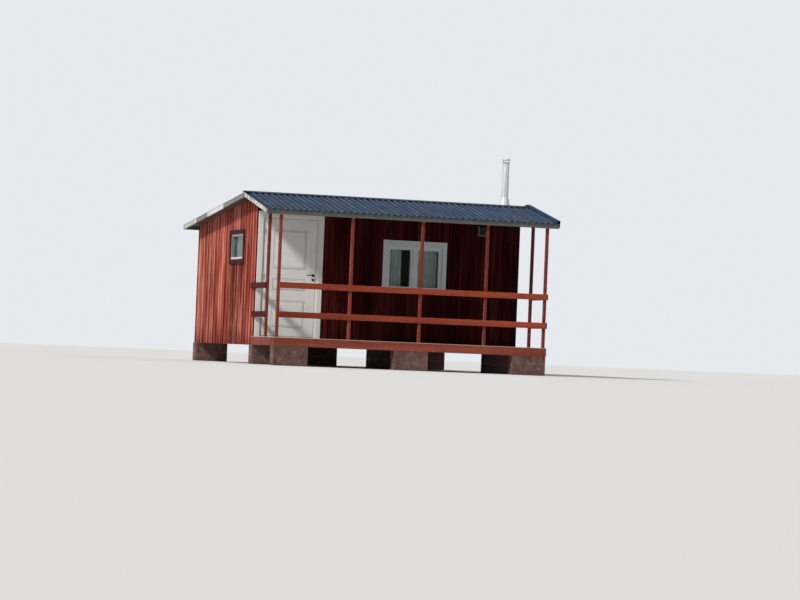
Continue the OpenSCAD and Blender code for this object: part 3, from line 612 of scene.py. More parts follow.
# the boards, then the battens over their joints
layers = []
for width, thick, x, y, share, pick in (
        (full, size["Board Thick"], times(plus(start, stop), 0.5),
         maths("MULTIPLY_ADD", size["Board Thick"], 0.5, size["Batten Thick"]),
         maths("DIVIDE", broad, full), maths("GREATER_THAN", broad, narrowest_board)),
        (size["Batten Width"], size["Batten Thick"], line, times(size["Batten Thick"], 0.5),
         1.0, times(within, maths("GREATER_THAN", size["Batten Width"], narrowest_batten)))):
    spots = wired(tree, "GeometryNodePoints", {"Count": count, "Position": vector(x, y, size["Low"])})
    layers.append(set_boards(spots, rounded_bar(width, thick, size["Edge"]), pick,
                             vector(share, 1.0, minus(size["High"], size["Low"])),
                             vector(index, float(len(layers)), size["Seed"])))
uncut = wired(tree, "GeometryNodeRealizeInstances", {"Geometry": together(*layers)})
spot = xyz(wired(tree, "GeometryNodeInputPosition"))
past = minus(spot[0], size["Peak At"])
drop = maths("MAXIMUM", times(past, size["Fall After"]), times(past, times(size["Fall Before"], -1.0)))
under_roof = vector(spot[0], spot[1], maths("MINIMUM", spot[2], minus(size["Peak"], drop)))
tree_end(wired(tree, "GeometryNodeSetPosition", {"Geometry": uncut, "Position": under_roof}), size["Timber"])


def wall_paint(name, deep, bright, fade, trim=None):
    """Matte paint with pale and dark streaks down it, splashes at the foot, and darker streaks below a trim.
    """
    made, shader, place = finish(name, bright, 0.9)
    shader.inputs["Specular IOR Level"].default_value = 0.06
    look, tone = grained(place, (55.0, 55.0, 2.5), deep, bright)
    streak = noise(stretched(place, (46.0, 46.0, 0.7)), 1.0, 6.0, 0.78, 0.2)
    patch = noise(stretched(place, (2.5, 2.5, 0.6)), 1.0, 3.0, 0.5, 0.3)
    washed = maths("MULTIPLY_ADD", patch, 0.3, times(streak, 0.8))
    spot = xyz(place)
    splash = plus(spot[2], times(streak, 0.35))
    tone = mixed(band(washed, 0.56, 0.64, 0.0, fade), tone, (0.84, 0.38, 0.28))
    tone = mixed(band(washed, 0.45, 0.53, 0.85, 0.0), tone, darker(deep, 0.25))
    tone = mixed(band(look["Grain"], 0.42, 0.8, 0.0, 0.5), tone, darker(deep, 0.4))
    tone = mixed(band(splash, 0.48, 0.85, 0.6, 0.0), tone, darker(deep, 0.5))
    # below the trim the boards are darker in streaks
    if trim is not None:
        low, high = trim
        front_end = band(spot[1], low.y - 0.10, low.y + 0.06)
        rear_end = band(spot[1], high.y - 0.20, high.y, 1.0, 0.0)
        on_gable = maths("LESS_THAN", spot[0], high.x + 0.10)
        below = band(spot[2], low.z, low.z + 0.02, 1.0, 0.0)
        dark_below_trim = times(times(times(front_end, rear_end), on_gable), below)
        dark_below_trim = times(dark_below_trim, band(streak, 0.48, 0.58, 1.0, 0.1))
        tone = mixed(times(dark_below_trim, 0.9), tone, darker(deep, 0.3))
    tinted(shader, board_tone(tone, 0.50, 1.32))
    raised(shader, look["Grain"], 0.0015, 0.8)
    return made


along_z = (60.0, 60.0, 3.0)
gable_red = wall_paint("faded_gable_red", (0.22, 0.033, 0.024), (0.56, 0.112, 0.076), fade=0.85,
                       trim=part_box("gable_window_trim"))
# the front wall: unfaded red, darkened further as painted shade under the porch roof
front_red = wall_paint("front_red", (0.030, 0.0035, 0.003), (0.068, 0.008, 0.006), fade=0.04)
lining = timber("board_lining", (0.30, 0.22, 0.14), (0.45, 0.34, 0.23), along_z, rough=0.7, grime=0.3)

# the roof's two slopes, the place of the walls, and the thickness of their layers
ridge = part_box("roof_boards_front")[1]
front_pitch, rear_pitch = math.radians(11.7), math.radians(5.5)
front_fall, rear_fall = math.tan(front_pitch), math.tan(rear_pitch)
boarding_depth, roof_gap = 0.0235, 0.001
wall_thick, board_thick, batten_thick = 0.095, 0.022, 0.016
outer_thick = board_thick + batten_thick
wall_pitch, lining_pitch = 0.200, 0.12
no_limit, narrowest_span = 9.0, 0.001
left_low, right_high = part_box("left_wall_front")[0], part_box("right_wall")[1]
left_x, right_x, sill_z = left_low.x, right_high.x, left_low.z
front_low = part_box("front_wall_right")[0]
front_face, floor_z = front_low.y, front_low.z
rear_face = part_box("back_wall")[1].y


def roof_line(y):
    """Height of the roof boards' top at the world place y."""
    return ridge.z - abs(y - ridge.y) * (front_fall if y < ridge.y else rear_fall)


def soffit(y):
    """Height of the roof boards' underside at the world place y."""
    return roof_line(y) - boarding_depth


def wall_panels(name, outer, origin, along, inward, length, holes, nodes, peak, peak_at=0.0,
                falls=(0.0, 0.0)):
    """Boards, battens and lining of a wall round its holes (start, stop, low, high), cut to the roof."""
    place = axes(origin, along, inward, (0.0, 0.0, 1.0))
    spans, at = [], 0.0
    for begin, end, low, high in holes:
        spans += [(at, begin, 0.0, no_limit), (begin, end, 0.0, low), (begin, end, high, no_limit)]
        at = end
    spans.append((at, length, 0.0, no_limit))
    spans = [span for span in spans if span[1] - span[0] > narrowest_span and span[3] > 0.0]
    boards, inner = [], []
    for number, (begin, end, low, high) in enumerate(spans):
        common = dict(length=end - begin, low=low, high=min(high, peak - origin[2]), peak=peak - origin[2],
                      peak_at=peak_at - begin, fall_before=falls[0], fall_after=falls[1], seed=number + 1)
        shift = place @ Matrix.Translation((begin, 0.0, 0.0))
        behind = shift @ Matrix.Translation((0.0, outer_thick, 0.0))
        boards.append(grown(name, wall_tree, shift, pitch=wall_pitch, board_thick=board_thick,
                            batten_thick=batten_thick, phase=(-begin) % wall_pitch, timber=outer, **common))
        inner.append(grown(name + "_lining", wall_tree, behind, pitch=lining_pitch, gap=0.001,
                           board_thick=wall_thick - outer_thick, batten_width=0.0, batten_thick=0.0,
                           phase=(-begin) % lining_pitch, timber=lining, **common))
    fitted(joined(name, boards), "red_boarding", *nodes)
    fitted(joined(name + "_lining", inner), "raw_timber")


def opening(node, axis, origin):
    """(start, stop, low, high) of the hole that a frame fills, along a wall from its origin."""
    low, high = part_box(node)
    return low[axis] - origin[axis], high[axis] - origin[axis], low.z - origin[2], high.z - origin[2]


gable_length, front_length = rear_face - front_face - 2 * board_thick, right_x - left_x - 2 * wall_thick
gable_roof = dict(peak=soffit(ridge.y), peak_at=ridge.y - front_face - board_thick,
                  falls=(front_fall, rear_fall))
origin = (left_x, front_face + board_thick, sill_z)
wall_panels("left_gable", gable_red, origin, (0.0, 1.0, 0.0), (1.0, 0.0, 0.0), gable_length,
            [opening("gable_window_frame", 1, origin)],
            ("left_wall_front", "left_wall_window_bay", "left_wall_back"), **gable_roof)
origin = (right_x, front_face + board_thick, sill_z)
wall_panels("right_gable", gable_red, origin, (0.0, 1.0, 0.0), (-1.0, 0.0, 0.0), gable_length, [],
            ("right_wall",), **gable_roof)
origin = (left_x + wall_thick, rear_face, sill_z)
wall_panels("rear_wall", gable_red, origin, (1.0, 0.0, 0.0), (0.0, -1.0, 0.0), front_length, [],
            ("back_wall",), soffit(rear_face))
origin = (left_x + wall_thick, front_face, floor_z)
door_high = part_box("door_frame")[1]
# the doorway reaches below the floor, so no boards stand under it
doorway = (0.0, door_high.x - origin[0], -1.0, door_high.z - floor_z)
wall_panels("front_wall", front_red, origin, (1.0, 0.0, 0.0), (0.0, 1.0, 0.0), front_length,
            [doorway, opening("window_frame", 0, origin)],
            ("front_wall_over_door", "front_wall_middle", "front_wall_window_bay", "front_wall_right"),
            soffit(front_face + wall_thick) - roof_gap)

# Corner boards. A plain board closes the end of each gable wall, front and back, over the ends
# of the boarding; the front ones stand in the shade of the porch and take the front wall's red
# with its painted shade.


def prism(name, outline, axis, start, reach, width, material):
    """An outline drawn square to the axis x or z, pushed along it from start by reach, its edges rounded."""
    form = bmesh.new()
    form.faces.layers.float.new("worn")
    corners = [(start, a, b) if axis == "x" else (a, b, start) for a, b in outline]
    face = form.faces.new([form.verts.new(corner) for corner in corners])
    pushed = bmesh.ops.extrude_face_region(form, geom=[face])["geom"]
    bmesh.ops.translate(form, vec=(reach, 0, 0) if axis == "x" else (0, 0, reach),
                        verts=[part for part in pushed if isinstance(part, bmesh.types.BMVert)])
    bmesh.ops.recalc_face_normals(form, faces=form.faces)
    rounded_edges(form, form.edges[:], width)
    piece = solid(name, form)
    piece.data.materials.append(material)
    return piece


corner_ends = ((front_face, front_face + board_thick, front_red),
               (rear_face - board_thick, rear_face, gable_red))
corners = []
for x0, x1 in ((left_x, left_x + wall_thick), (right_x - wall_thick, right_x)):
    for y0, y1, outer in corner_ends:
        tall = min(soffit(y0), soffit(y1)) - roof_gap - sill_z
        corners.append(prism("corner_board", [(x0, y0), (x1, y0), (x1, y1), (x0, y1)], "z", sill_z, tall,
                             width=0.002, material=outer))
fitted(joined("corner_boards", corners), "red_boarding")

# Roof timber. The boards over the porch lie along the house, nailed to the rafters, and show
# their undersides; those over the room are one close boarded layer with the hole for the flue.
# Both are coloured very dark, a painted shade for the shadow under the roof.
soffit_shade_dark, soffit_shade_light = (0.050, 0.040, 0.031), (0.100, 0.080, 0.062)
soffit_wood_painted_shade = timber("dark_roof_boards", soffit_shade_dark, soffit_shade_light, along_x, rough=0.85)
ridge_gap = 0.004
low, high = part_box("roof_boards_front")
slope_length = (high.y - low.y) / math.cos(front_pitch)
on_slope = (Matrix.Translation((low.x, ridge.y, ridge.z)) @ Matrix.Rotation(front_pitch, 4, "X")
            @ Matrix.Translation((0.0, -slope_length, 0.0)))
fitted(grown("porch_roof_boards", board_tree, on_slope, length=high.x - low.x,
             width=slope_length - ridge_gap, rows=15, gap=0.002, thickness=0.022, edge=0.001, seed=3,
             timber=soffit_wood_painted_shade, **staggered), "roof_boarding", "roof_boards_front")

# the room's boards take the same very dark tones, painted shade
close_boards_painted_shade, shader, place = finish("close_roof_boards", (0.08, 0.06, 0.045), 0.85)
board_width = 0.117
look, tone = grained(place, along_x, soffit_shade_dark, soffit_shade_light)
joint = band(maths("FRACT", maths("DIVIDE", xyz(place)[1], board_width)), 0.0, 0.03, 1.0, 0.0)
tone = mixed(band(look["Grain"], 0.4, 0.75, 0.0, 0.6), tone, (0.025, 0.020, 0.015))
tinted(shader, mixed(joint, tone, (0.01, 0.008, 0.006)))
raised(shader, minus(look["Grain"], times(joint, 3.0)), 0.001, 0.8)
clad(close_boards_painted_shade, "roof_boards_rear")

# Roof sheets. Ribbed steel with a dark blue coat, pale along the crowns and sunlit sides of its
# ribs with chalk and a painted highlight, bare and bright along the cut eaves with a painted
# highlight there too, and screwed to the boards; a folded black cap covers the ridge, and a
# folded blue trim the right verge.
coat, size = effect("coated_steel", {"Vector": (0.0, 0.0, 0.0), "Low Edge": -3.0, "High Edge": 3.0},
                    ("Dust", "Cut", "Dent"))
dust = noise(stretched(size["Vector"], (6.0, 0.9, 6.0)), 1.0, 6.0, 0.68, 0.7)
fine = noise(stretched(size["Vector"], (30.0, 6.0, 30.0)), 1.0, 4.0, 0.7)
up_slope = xyz(size["Vector"])[1]
bare_cut_and_glint = maths("MAXIMUM", maths("LESS_THAN", up_slope, size["Low Edge"]),
            maths("GREATER_THAN", up_slope, size["High Edge"]))
wired(coat, "NodeGroupOutput", {0: maths("MULTIPLY_ADD", fine, 0.35, times(dust, 0.65)), 1: bare_cut_and_glint,
                                2: noise(size["Vector"], 1.5, 3.0, 0.5)})


def coated(name, deep, faded, rough, cut_edges=(-9.0, 9.0), ribs=None):
    """Dusty coated steel, bright past its cut edges along y with bare metal and a painted highlight, pale
    with chalk and a painted highlight on its ribs, given as (first, step).
    """
    made, shader, place = finish(name, faded, rough)
    shader.inputs["Specular IOR Level"].default_value = 0.04
    look = placed(coat, vector=place, low_edge=cut_edges[0], high_edge=cut_edges[1])
    tone = mixed(band(look["Dust"], 0.40, 0.62), deep, faded)
    if ribs is not None:
        first, step = ribs
        phase = maths("FRACT", maths("DIVIDE", minus(xyz(place)[0], first), step))
        # the crowns and sunlit sides of the ribs: chalk and a painted highlight
        crown_and_sunlit_side = times(band(phase, 0.14, 0.30), band(phase, 0.58, 0.72, 1.0, 0.0))
        chalk_and_highlight = noise(stretched(place, (9.0, 1.6, 1.6)), 1.0, 5.0, 0.7, 0.3)
        tone = mixed(times(crown_and_sunlit_side, band(chalk_and_highlight, 0.36, 0.66, 0.25, 0.85)), tone, (0.080, 0.118, 0.165))
    tone = mixed(band(look["Dust"], 0.60, 0.74, 0.0, 0.25), tone, (0.13, 0.135, 0.13))
    # bright past the cut edges: bare metal and a painted highlight
    tone = mixed(times(look["Cut"], 0.8), tone, (0.45, 0.48, 0.50))
    tinted(shader, tone, band(look["Dust"], 0.35, 0.7, rough - 0.06, rough + 0.2))
    raised(shader, look["Dent"], 0.01, 0.25)
    return made


sheet_low, sheet_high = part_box("roof_sheet_front")[0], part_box("roof_sheet_rear")[1]
sheet_width = sheet_high.x - sheet_low.x
rib_step, rib_margin, cut_width = 0.110, 0.09, 0.006
rib_count = math.floor((sheet_width - rib_margin) / rib_step)
trough = sheet_low.x + (sheet_width - rib_count * rib_step) / 2
cuts = (sheet_low.y + cut_width, sheet_high.y - cut_width)
roof_coat = coated("blue_grey_roof_coat", (0.004, 0.013, 0.040), (0.011, 0.033, 0.092), rough=0.5,
                   cut_edges=cuts, ribs=(trough, rib_step))
cap_coat = coated("black_flashing_coat", (0.010, 0.012, 0.017), (0.026, 0.030, 0.036), rough=0.38)
trim_coat = coated("navy_trim_coat", (0.022, 0.048, 0.110), (0.050, 0.086, 0.155), rough=0.45)
clad(roof_coat, "roof_sheet_front", "roof_sheet_rear")
clad(cap_coat, "ridge_cap")
clad(trim_coat, "verge_trim")

screw, shader, place = finish("painted_screws", (0.06, 0.07, 0.085), 0.4)
shader.inputs["Metallic"].default_value = 0.6
tinted(shader, mixed(band(noise(place, 200.0), 0.45, 0.6), (0.05, 0.06, 0.075), (0.22, 0.22, 0.21)))
screw_lift, below_ridge, above_eave = 0.0012, 0.18, 0.06
screws = []
for slope, side, reach, rows in ((front_pitch, -1.0, ridge.y - sheet_low.y, 4),
                                 (rear_pitch, 1.0, sheet_high.y - ridge.y, 9)):
    down = Vector((0.0, side * math.cos(slope), -math.sin(slope)))
    away = Vector((0.0, side * math.sin(slope), math.cos(slope)))
    first = Vector((trough, ridge.y, ridge.z)) + away * screw_lift + down * below_ridge
    step_y = (reach / math.cos(slope) - below_ridge - above_eave) / (rows - 1)
    screws.append(grown("roof_screws", head_tree, axes(first, (1.0, 0.0, 0.0), down, away), steel=screw,
                        columns=rib_count // 2 + 1, rows=rows, step_x=2 * rib_step, step_y=step_y,
                        radius=0.007, wander=0.003, seed=rows))
fitted(joined("roof_screws", screws), "roof_metal")

# Roof edge boards. The verge boards are old white-painted planks butted in several lengths,
# some weathered to bare grey wood; the eave boards are grey, darkened as painted shade for the
# sheet's shadow.


def old_paint(name, coat_tone, bare_tone, bare, along, green=0.0, mould=0.2):
    """Thin paint over grey timber, flaked by the share bare, with shares of green bloom and dark mould."""
    made, shader, place = finish(name, coat_tone, 0.6)
    look = placed(grain, vector=place, stretch=along)
    cover = placed(paint, vector=place, size=1.0, bare=bare, edge=0.5)
    bloom = band(noise(place, 2.5, 4.0, 0.6, 0.5), 0.45, 0.7, 0.0, green)
    spots = band(noise(place, 9.0, 9.0, 0.86, 0.2), 0.50, 0.54, 0.0, mould)
    tone = mixed(band(cover["Dirt"], 0.42, 0.7, 0.0, 0.35), coat_tone, darker(coat_tone, 0.55))
    tone = mixed(bloom, tone, (0.42, 0.45, 0.20))
    tone = mixed(spots, tone, (0.085, 0.095, 0.075))
    wood = mixed(band(look["Grain"], 0.35, 0.75), bare_tone, darker(bare_tone, 0.4))
    tone = board_tone(mixed(cover["Bare"], tone, wood), 0.85, 1.08)
    tinted(shader, tone, band(cover["Bare"], 0.0, 1.0, 0.45, 0.85))
    raised(shader, minus(look["Grain"], cover["Bare"]), 0.0007, 0.6)
    return made


along_y = (60.0, 3.0, 60.0)
verge_white = old_paint("verge_white", (0.82, 0.81, 0.74), (0.20, 0.18, 0.15), bare=0.25, along=along_y,
                        green=0.7, mould=0.85)
verge_bright = old_paint("verge_new_white", (0.82, 0.82, 0.80), (0.4, 0.38, 0.34), bare=-0.2, along=along_y)
verge_grey = old_paint("verge_grey", (0.22, 0.22, 0.21), (0.13, 0.12, 0.10), bare=0.5, along=along_y,
                       green=0.1, mould=0.5)
trim_height, butt = 0.079, 0.0015


def verge_boards(name, node, joints, materials):
    """Boards along one verge, plumb-cut at the joints and drawn back there by a hair, one material each."""
    low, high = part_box(node)
    ends = [low.y, *joints, high.y]
    boards = []
    for start, stop, material in zip(ends, ends[1:], materials):
        start, stop = start + butt * (start > low.y), stop - butt * (stop < high.y)
        outline = [(start, roof_line(start)), (stop, roof_line(stop)), (stop, roof_line(stop) - trim_height),
                   (start, roof_line(start) - trim_height)]
        boards.append(prism(name, outline, "x", low.x, high.x - low.x, width=0.003, material=material))
    fitted(joined(name, boards), "grey_trim", node)


verge_boards("left_verge_boards", "bargeboard_left", joints=(ridge.y, 0.05, 1.25, 2.1),
             materials=(verge_white, verge_grey, verge_bright, verge_grey, verge_white))
verge_boards("right_verge_boards", "bargeboard_right", joints=(ridge.y, 0.9), materials=3 * (verge_grey,))
# the eave boards' grey is darkened as painted shade for the shadow under the sheet
eave_grey = old_paint("eave_grey", (0.086, 0.090, 0.089), (0.062, 0.060, 0.055), bare=0.3, along=along_x,
                      green=0.1)
dressed("front_eave_board", "fascia_front", "grey_trim", eave_grey)
dressed("rear_eave_board", "fascia_rear", "grey_trim", eave_grey)

# Porch posts. Five slender planed posts carry the front eave and two more stand half way back
# at the ends; sun-faded red paint, worn bare on the edges, darkened a little as painted shade.
post_red = red_stain("post_red", (0.12, 0.016, 0.011), (0.27, 0.044, 0.028), (60.0, 60.0, 2.5), bare=0.1,
                     bare_tone=(0.36, 0.18, 0.13))
dressed("front_porch_posts", "front_posts", "red_posts", post_red, width=0.004, steps=3)
dressed("end_porch_posts", "end_posts", "red_posts", post_red, width=0.004, steps=3)

# Porch rails. Planed boards nailed to the posts' faces, an upper and a lower one all along the
# front and short ones at the ends; two rusty nails hold each board to each post.
# one red paint in a lit and a shaded copy: the front rails' red is lightened as painted sunlight, the end
# rails' red darkened as painted shade
rail_red = red_stain("rail_red", (0.18, 0.026, 0.012), (0.38, 0.064, 0.028), along_x, bare=0.0,
                     bare_tone=(0.40, 0.22, 0.15))
end_rail_red = red_stain("end_rail_red", (0.055, 0.008, 0.008), (0.13, 0.020, 0.019), along_y, bare=0.0,
                         bare_tone=(0.20, 0.11, 0.10), gloss=0.05)
dressed("front_rail_boards", "front_rails", "red_rails", rail_red, width=0.003)
dressed("left_rail_boards", "left_rails", "red_rails", end_rail_red, width=0.003)
dressed("right_rail_boards", "right_rails", "red_rails", end_rail_red, width=0.003)
rail_low, rail_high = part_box("front_rails")
post_low, post_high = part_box("front_posts")
rail_height, post_width, nail_drop = 0.100, 0.050, 0.075
post_shares = (0.0, 0.2594, 0.5209, 0.7670, 1.0)
left_rail_x, end_post_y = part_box("left_rails")[0].x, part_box("end_posts")[0].y + post_width / 2


def nail_pair(place, along, seed):
    """Two nails, one over the other, that hold a rail to a post."""
    return nails("rail_nails", place, along, (0, 0, 1), columns=1, rows=2, step_x=0.0, step_y=0.05,
                 radius=0.004, seed=seed)


rail_nails = []
for rail_top in (rail_high.z, rail_low.z + rail_height):
    for share in post_shares:
        x = post_low.x + post_width / 2 + share * (post_high.x - post_low.x - post_width)
        rail_nails.append(nail_pair((x, rail_low.y, rail_top - nail_drop), (1, 0, 0), int(share * 10)))
    rail_nails.append(nail_pair((left_rail_x, end_post_y, rail_top - nail_drop), (0, -1, 0), 3))
fitted(joined("rail_nails", rail_nails), "hinge_steel")

# Door frame and casing. White-painted softwood jambs, head and threshold with a stop, and flat
# casing boards nailed over the ends of the wall boarding.


def white_paint(name, tone_of, bare=-0.05, along=along_z, sill=None):
    """White oil paint with fine brush grain, grey in its creases with dirt and painted shade, paler below the
    height sill.
    """
    rough = 0.42
    made, shader, place = finish(name, tone_of, rough)
    look = placed(grain, vector=place, stretch=along)
    cover = placed(paint, vector=place, size=1.6, bare=bare, edge=0.3)
    # darker grey in the panel creases: dirt and painted shade
    crease = times(attribute(shader.id_data, "crease"), band(cover["Dirt"], 0.35, 0.65, 0.45, 0.8))
    tone = mixed(band(cover["Dirt"], 0.48, 0.75, 0.0, 0.3), tone_of, darker(tone_of, 0.62))
    if sill is not None:
        tone = mixed(band(xyz(place)[2], sill - 0.002, sill, 0.8, 0.0), tone, (0.66, 0.67, 0.64))
    tone = mixed(cover["Bare"], tone, (0.36, 0.31, 0.26))
    tone = mixed(band(look["Grain"], 0.55, 0.85, 0.0, 0.25), tone, darker(tone_of, 0.5))
    tone = mixed(crease, tone, (0.20, 0.195, 0.18))
    tinted(shader, tone, band(look["Grain"], 0.3, 0.8, rough - 0.08, rough + 0.15))
    raised(shader, look["Grain"], 0.0004, 0.5)
    return made


frame_white = white_paint("frame_white", (0.76, 0.76, 0.74))
dressed("door_jambs", "door_frame", "white_trim", frame_white, width=0.002)
dressed("door_casing_boards", "door_casing", "white_trim", frame_white, width=0.003)

# Door leaf. A framed softwood door of three sunk panels, each with a planted moulding round it
# and a raised field, painted white; it turns on three lift-off hinges at its left edge.
stile, sunk, crease_height = 0.170, 0.008, 0.0035
panel_shares = ((0.073, 0.302), (0.391, 0.492), (0.572, 0.907))


def field(name, low, high, y, side, rings):
    """Nested rectangles (inset, height) joined into a moulded panel that faces side along y."""
    form = bmesh.new()
    layer = form.faces.layers.float.new("crease")
    loops = []
    for inset, height in rings:
        x0, x1, z0, z1 = low[0] + inset, high[0] - inset, low[1] + inset, high[1] - inset
        corners = ((x0, z0), (x1, z0), (x1, z1), (x0, z1))
        loops.append([form.verts.new((x, y + side * height, z)) for x, z in corners])
    for outer, inner, (_, height) in zip(loops, loops[1:], rings[1:]):
        for k in range(4):
            face = form.faces.new((outer[k], outer[(k + 1) % 4], inner[(k + 1) % 4], inner[k]))
            face[layer] = 1.0 if height < crease_height else 0.0
    form.faces.new(loops[-1])
    form.faces.new(reversed(loops[0]))
    bmesh.ops.recalc_face_normals(form, faces=form.faces)
    return solid(name, form)


door_white = white_paint("door_white", (0.80, 0.80, 0.79), bare=-0.12)
leaf_low, leaf_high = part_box("door_leaf")
leaf_height = leaf_high.z - leaf_low.z
ovolo = [(0.006 + 0.016 * share, 0.0008 + 0.0066 * math.sin(math.pi * 0.5 * share))
         for share in (0.0, 0.2, 0.4, 0.6, 0.8, 1.0)]
moulding = [(0.0, -0.001), (0.0005, 0.0002), (0.0055, 0.0002), *ovolo,
            (0.024, 0.0074), (0.025, 0.0030), (0.029, 0.0028), (0.052, 0.0068), (0.054, 0.0070)]
leaf_parts = [softened("door_leaf_dressed", "door_leaf", width=0.0015)]
for low_share, high_share in panel_shares:
    low = (leaf_low.x + stile, leaf_low.z + low_share * leaf_height)
    high = (leaf_high.x - stile, leaf_low.z + high_share * leaf_height)
    for y, side in ((leaf_low.y + sunk, -1.0), (leaf_high.y - sunk, 1.0)):
        leaf_parts.append(field("door_field", low, high, y, side, moulding))
for part in leaf_parts:
    part.data.materials.append(door_white)
fitted(joined("door_leaf_dressed", leaf_parts), "white_door", "door_leaf", body="door")

# Lever handles and lock guards. Black coated steel on both faces of the leaf: a round rose, a
# neck and a straight lever with round ends, and below them the guard of the lock's cylinder.
black_coat, shader, place = finish("black_handle", (0.02, 0.02, 0.02), 0.35)
shader.inputs["Metallic"].default_value = 0.6
mottle = noise(place, 40.0, 4.0, 0.7)
tinted(shader, mixed(band(mottle, 0.55, 0.7), (0.018, 0.018, 0.018), (0.10, 0.10, 0.10)),
       band(mottle, 0.3, 0.7, 0.25, 0.5))


def turned(name, rings, centre, axis, steps=32):
    """A solid of revolution round an axis through centre; rings are (distance along, radius)."""
    form = bmesh.new()
    base = axis.to_track_quat("Z", "Y").to_matrix()
    angles = [2 * math.pi * k / steps for k in range(steps)]
    loops = [[form.verts.new(centre + base @ Vector((radius * math.cos(a), radius * math.sin(a), along)))
              for a in angles] for along, radius in rings]
    for lower, upper in zip(loops, loops[1:]):
        for k in range(steps):
            form.faces.new((lower[k], lower[(k + 1) % steps], upper[(k + 1) % steps], upper[k]))
    form.faces.new(reversed(loops[0]))
    form.faces.new(loops[-1])
    bmesh.ops.recalc_face_normals(form, faces=form.faces)
    return solid(name, form, smooth=True)


def pill(x0, x1, radius, least=0.0004):
    """Rings of a rod with round ends, from x0 to x1 along its axis."""
    turns = [math.pi / 2 * k / 5 for k in range(6)]
    return ([(x0 + radius - radius * math.cos(a), max(radius * math.sin(a), least)) for a in turns]
            + [(x1 - radius + radius * math.sin(a), max(radius * math.cos(a), least)) for a in turns])


rose_radius, lock_drop, lock_radius = 0.025, 0.078, 0.021
lever_radius, lever_back, lever_reach, lever_out = 0.0085, -0.010, 0.118, 0.041
rose = [(0.0, rose_radius), (0.005, rose_radius), (0.007, 0.0235), (0.008, 0.020), (0.010, 0.011)]
neck = [(0.009, 0.010), (0.030, 0.009), (0.040, 0.0095)]
guard = [(0.0, lock_radius), (0.006, lock_radius), (0.010, 0.0185), (0.0115, 0.015), (0.012, 0.0095),
         (0.0095, 0.009)]
lever, to_hinges = pill(lever_back, lever_reach, lever_radius), Vector((-1.0, 0.0, 0.0))
handle_low, handle_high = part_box("door_handle")
lever_x, lever_z = handle_high.x - rose_radius, handle_low.z + lock_radius + lock_drop
handle_parts = []
for y, side in ((leaf_low.y, -1.0), (leaf_high.y, 1.0)):
    centre, away = Vector((lever_x, y, lever_z)), Vector((0.0, side, 0.0))
    handle_parts += [
        turned("rose", rose, centre, away),
        turned("neck", neck, centre, away, steps=24),
        turned("lever", lever, centre + away * lever_out, to_hinges, steps=24),
        turned("lock_guard", guard, centre - Vector((0.0, 0.0, lock_drop)), away)]
for part in handle_parts:
    part.data.materials.append(black_coat)
fitted(joined("lever_handles", handle_parts), "black_metal", "door_handle", body="door")

# Hinges. Three pairs of zinc-plated steel knuckles stand in front of the gap on the left, the
# upper halves on the leaf, the pins and lower halves on the jamb.
zinc, shader, place = finish("zinc_plate", (0.50, 0.50, 0.48), 0.45)
shader.inputs["Metallic"].default_value = 0.9
stain = noise(place, 60.0, 4.0, 0.7)
tinted(shader, mixed(band(stain, 0.5, 0.68), (0.48, 0.48, 0.47), (0.22, 0.14, 0.09)),
       band(stain, 0.3, 0.7, 0.35, 0.65))
clad(zinc, "hinge_leaves", "hinge_pins")

# Front window. A white frame with a middle post and two side-hung sashes, single panes bedded
# in rebates, and flat casing boards nailed round it on the wall's face.
# the casing and sash whites are greyed and blued, a painted shade for the porch's shadow
casing_white = white_paint("casing_white", (0.54, 0.57, 0.60), bare=0.0, along=along_x)
sash_white = white_paint("sash_white", (0.58, 0.61, 0.64))
dressed("window_frame_bars", "window_frame", "white_trim", sash_white, width=0.002)
dressed("window_sash_bars", "window_sashes", "white_trim", sash_white)
dressed("window_casing_boards", "window_casing", "white_trim", casing_white, width=0.003)

glass, shader, place = finish("window_glass", (0.85, 0.92, 0.90), 0.02)
glass.surface_render_method = "BLENDED"
shader.inputs["Transmission Weight"].default_value = 1.0
shader.inputs["IOR"].default_value = 1.12
tree = glass.node_tree
smear = band(noise(place, 9.0, 5.0, 0.7, 0.6), 0.5, 0.8, 0.01, 0.14)
tree.links.new(smear, shader.inputs["Roughness"])
raised(shader, noise(place, 3.0, 2.0), 0.002, 0.15)
clear = wired(tree, "ShaderNodeBsdfTransparent", {"Color": (0.82, 0.87, 0.85, 1.0)})
ray = tree.nodes.new("ShaderNodeLightPath").outputs
passing = maths("MAXIMUM", ray["Is Shadow Ray"], ray["Is Diffuse Ray"])
pane = wired(tree, "ShaderNodeMixShader", {0: passing, 1: shader.outputs[0], 2: clear})
tree.links.new(pane, tree.nodes["Material Output"].inputs["Surface"])
clad(glass, "glass_panes")

# Curtain rod and curtains. A thin enamelled rod on two brackets stands inside the front window;
# two lengths of thin off-white cotton hang from it, gathered into soft folds.
rod_paint, shader, place = finish("rod_enamel", (0.70, 0.69, 0.66), 0.35)
tinted(shader, mixed(band(noise(place, 30.0), 0.5, 0.7, 0.0, 0.4), (0.72, 0.71, 0.68), (0.40, 0.38, 0.34)))
clad(rod_paint, "curtain_rod")

cloth, shader, place = finish("thin_cotton", (0.50, 0.54, 0.54), 0.9)
weave = noise(place, 900.0, 2.0)
tone = mixed(band(noise(place, 3.0, 4.0, 0.6, 0.5), 0.45, 0.7), (0.52, 0.56, 0.56), (0.40, 0.42, 0.40))
tinted(shader, mixed(band(weave, 0.4, 0.6, 0.0, 0.25), tone, (0.34, 0.36, 0.35)))
raised(shader, weave, 0.0004, 0.4)


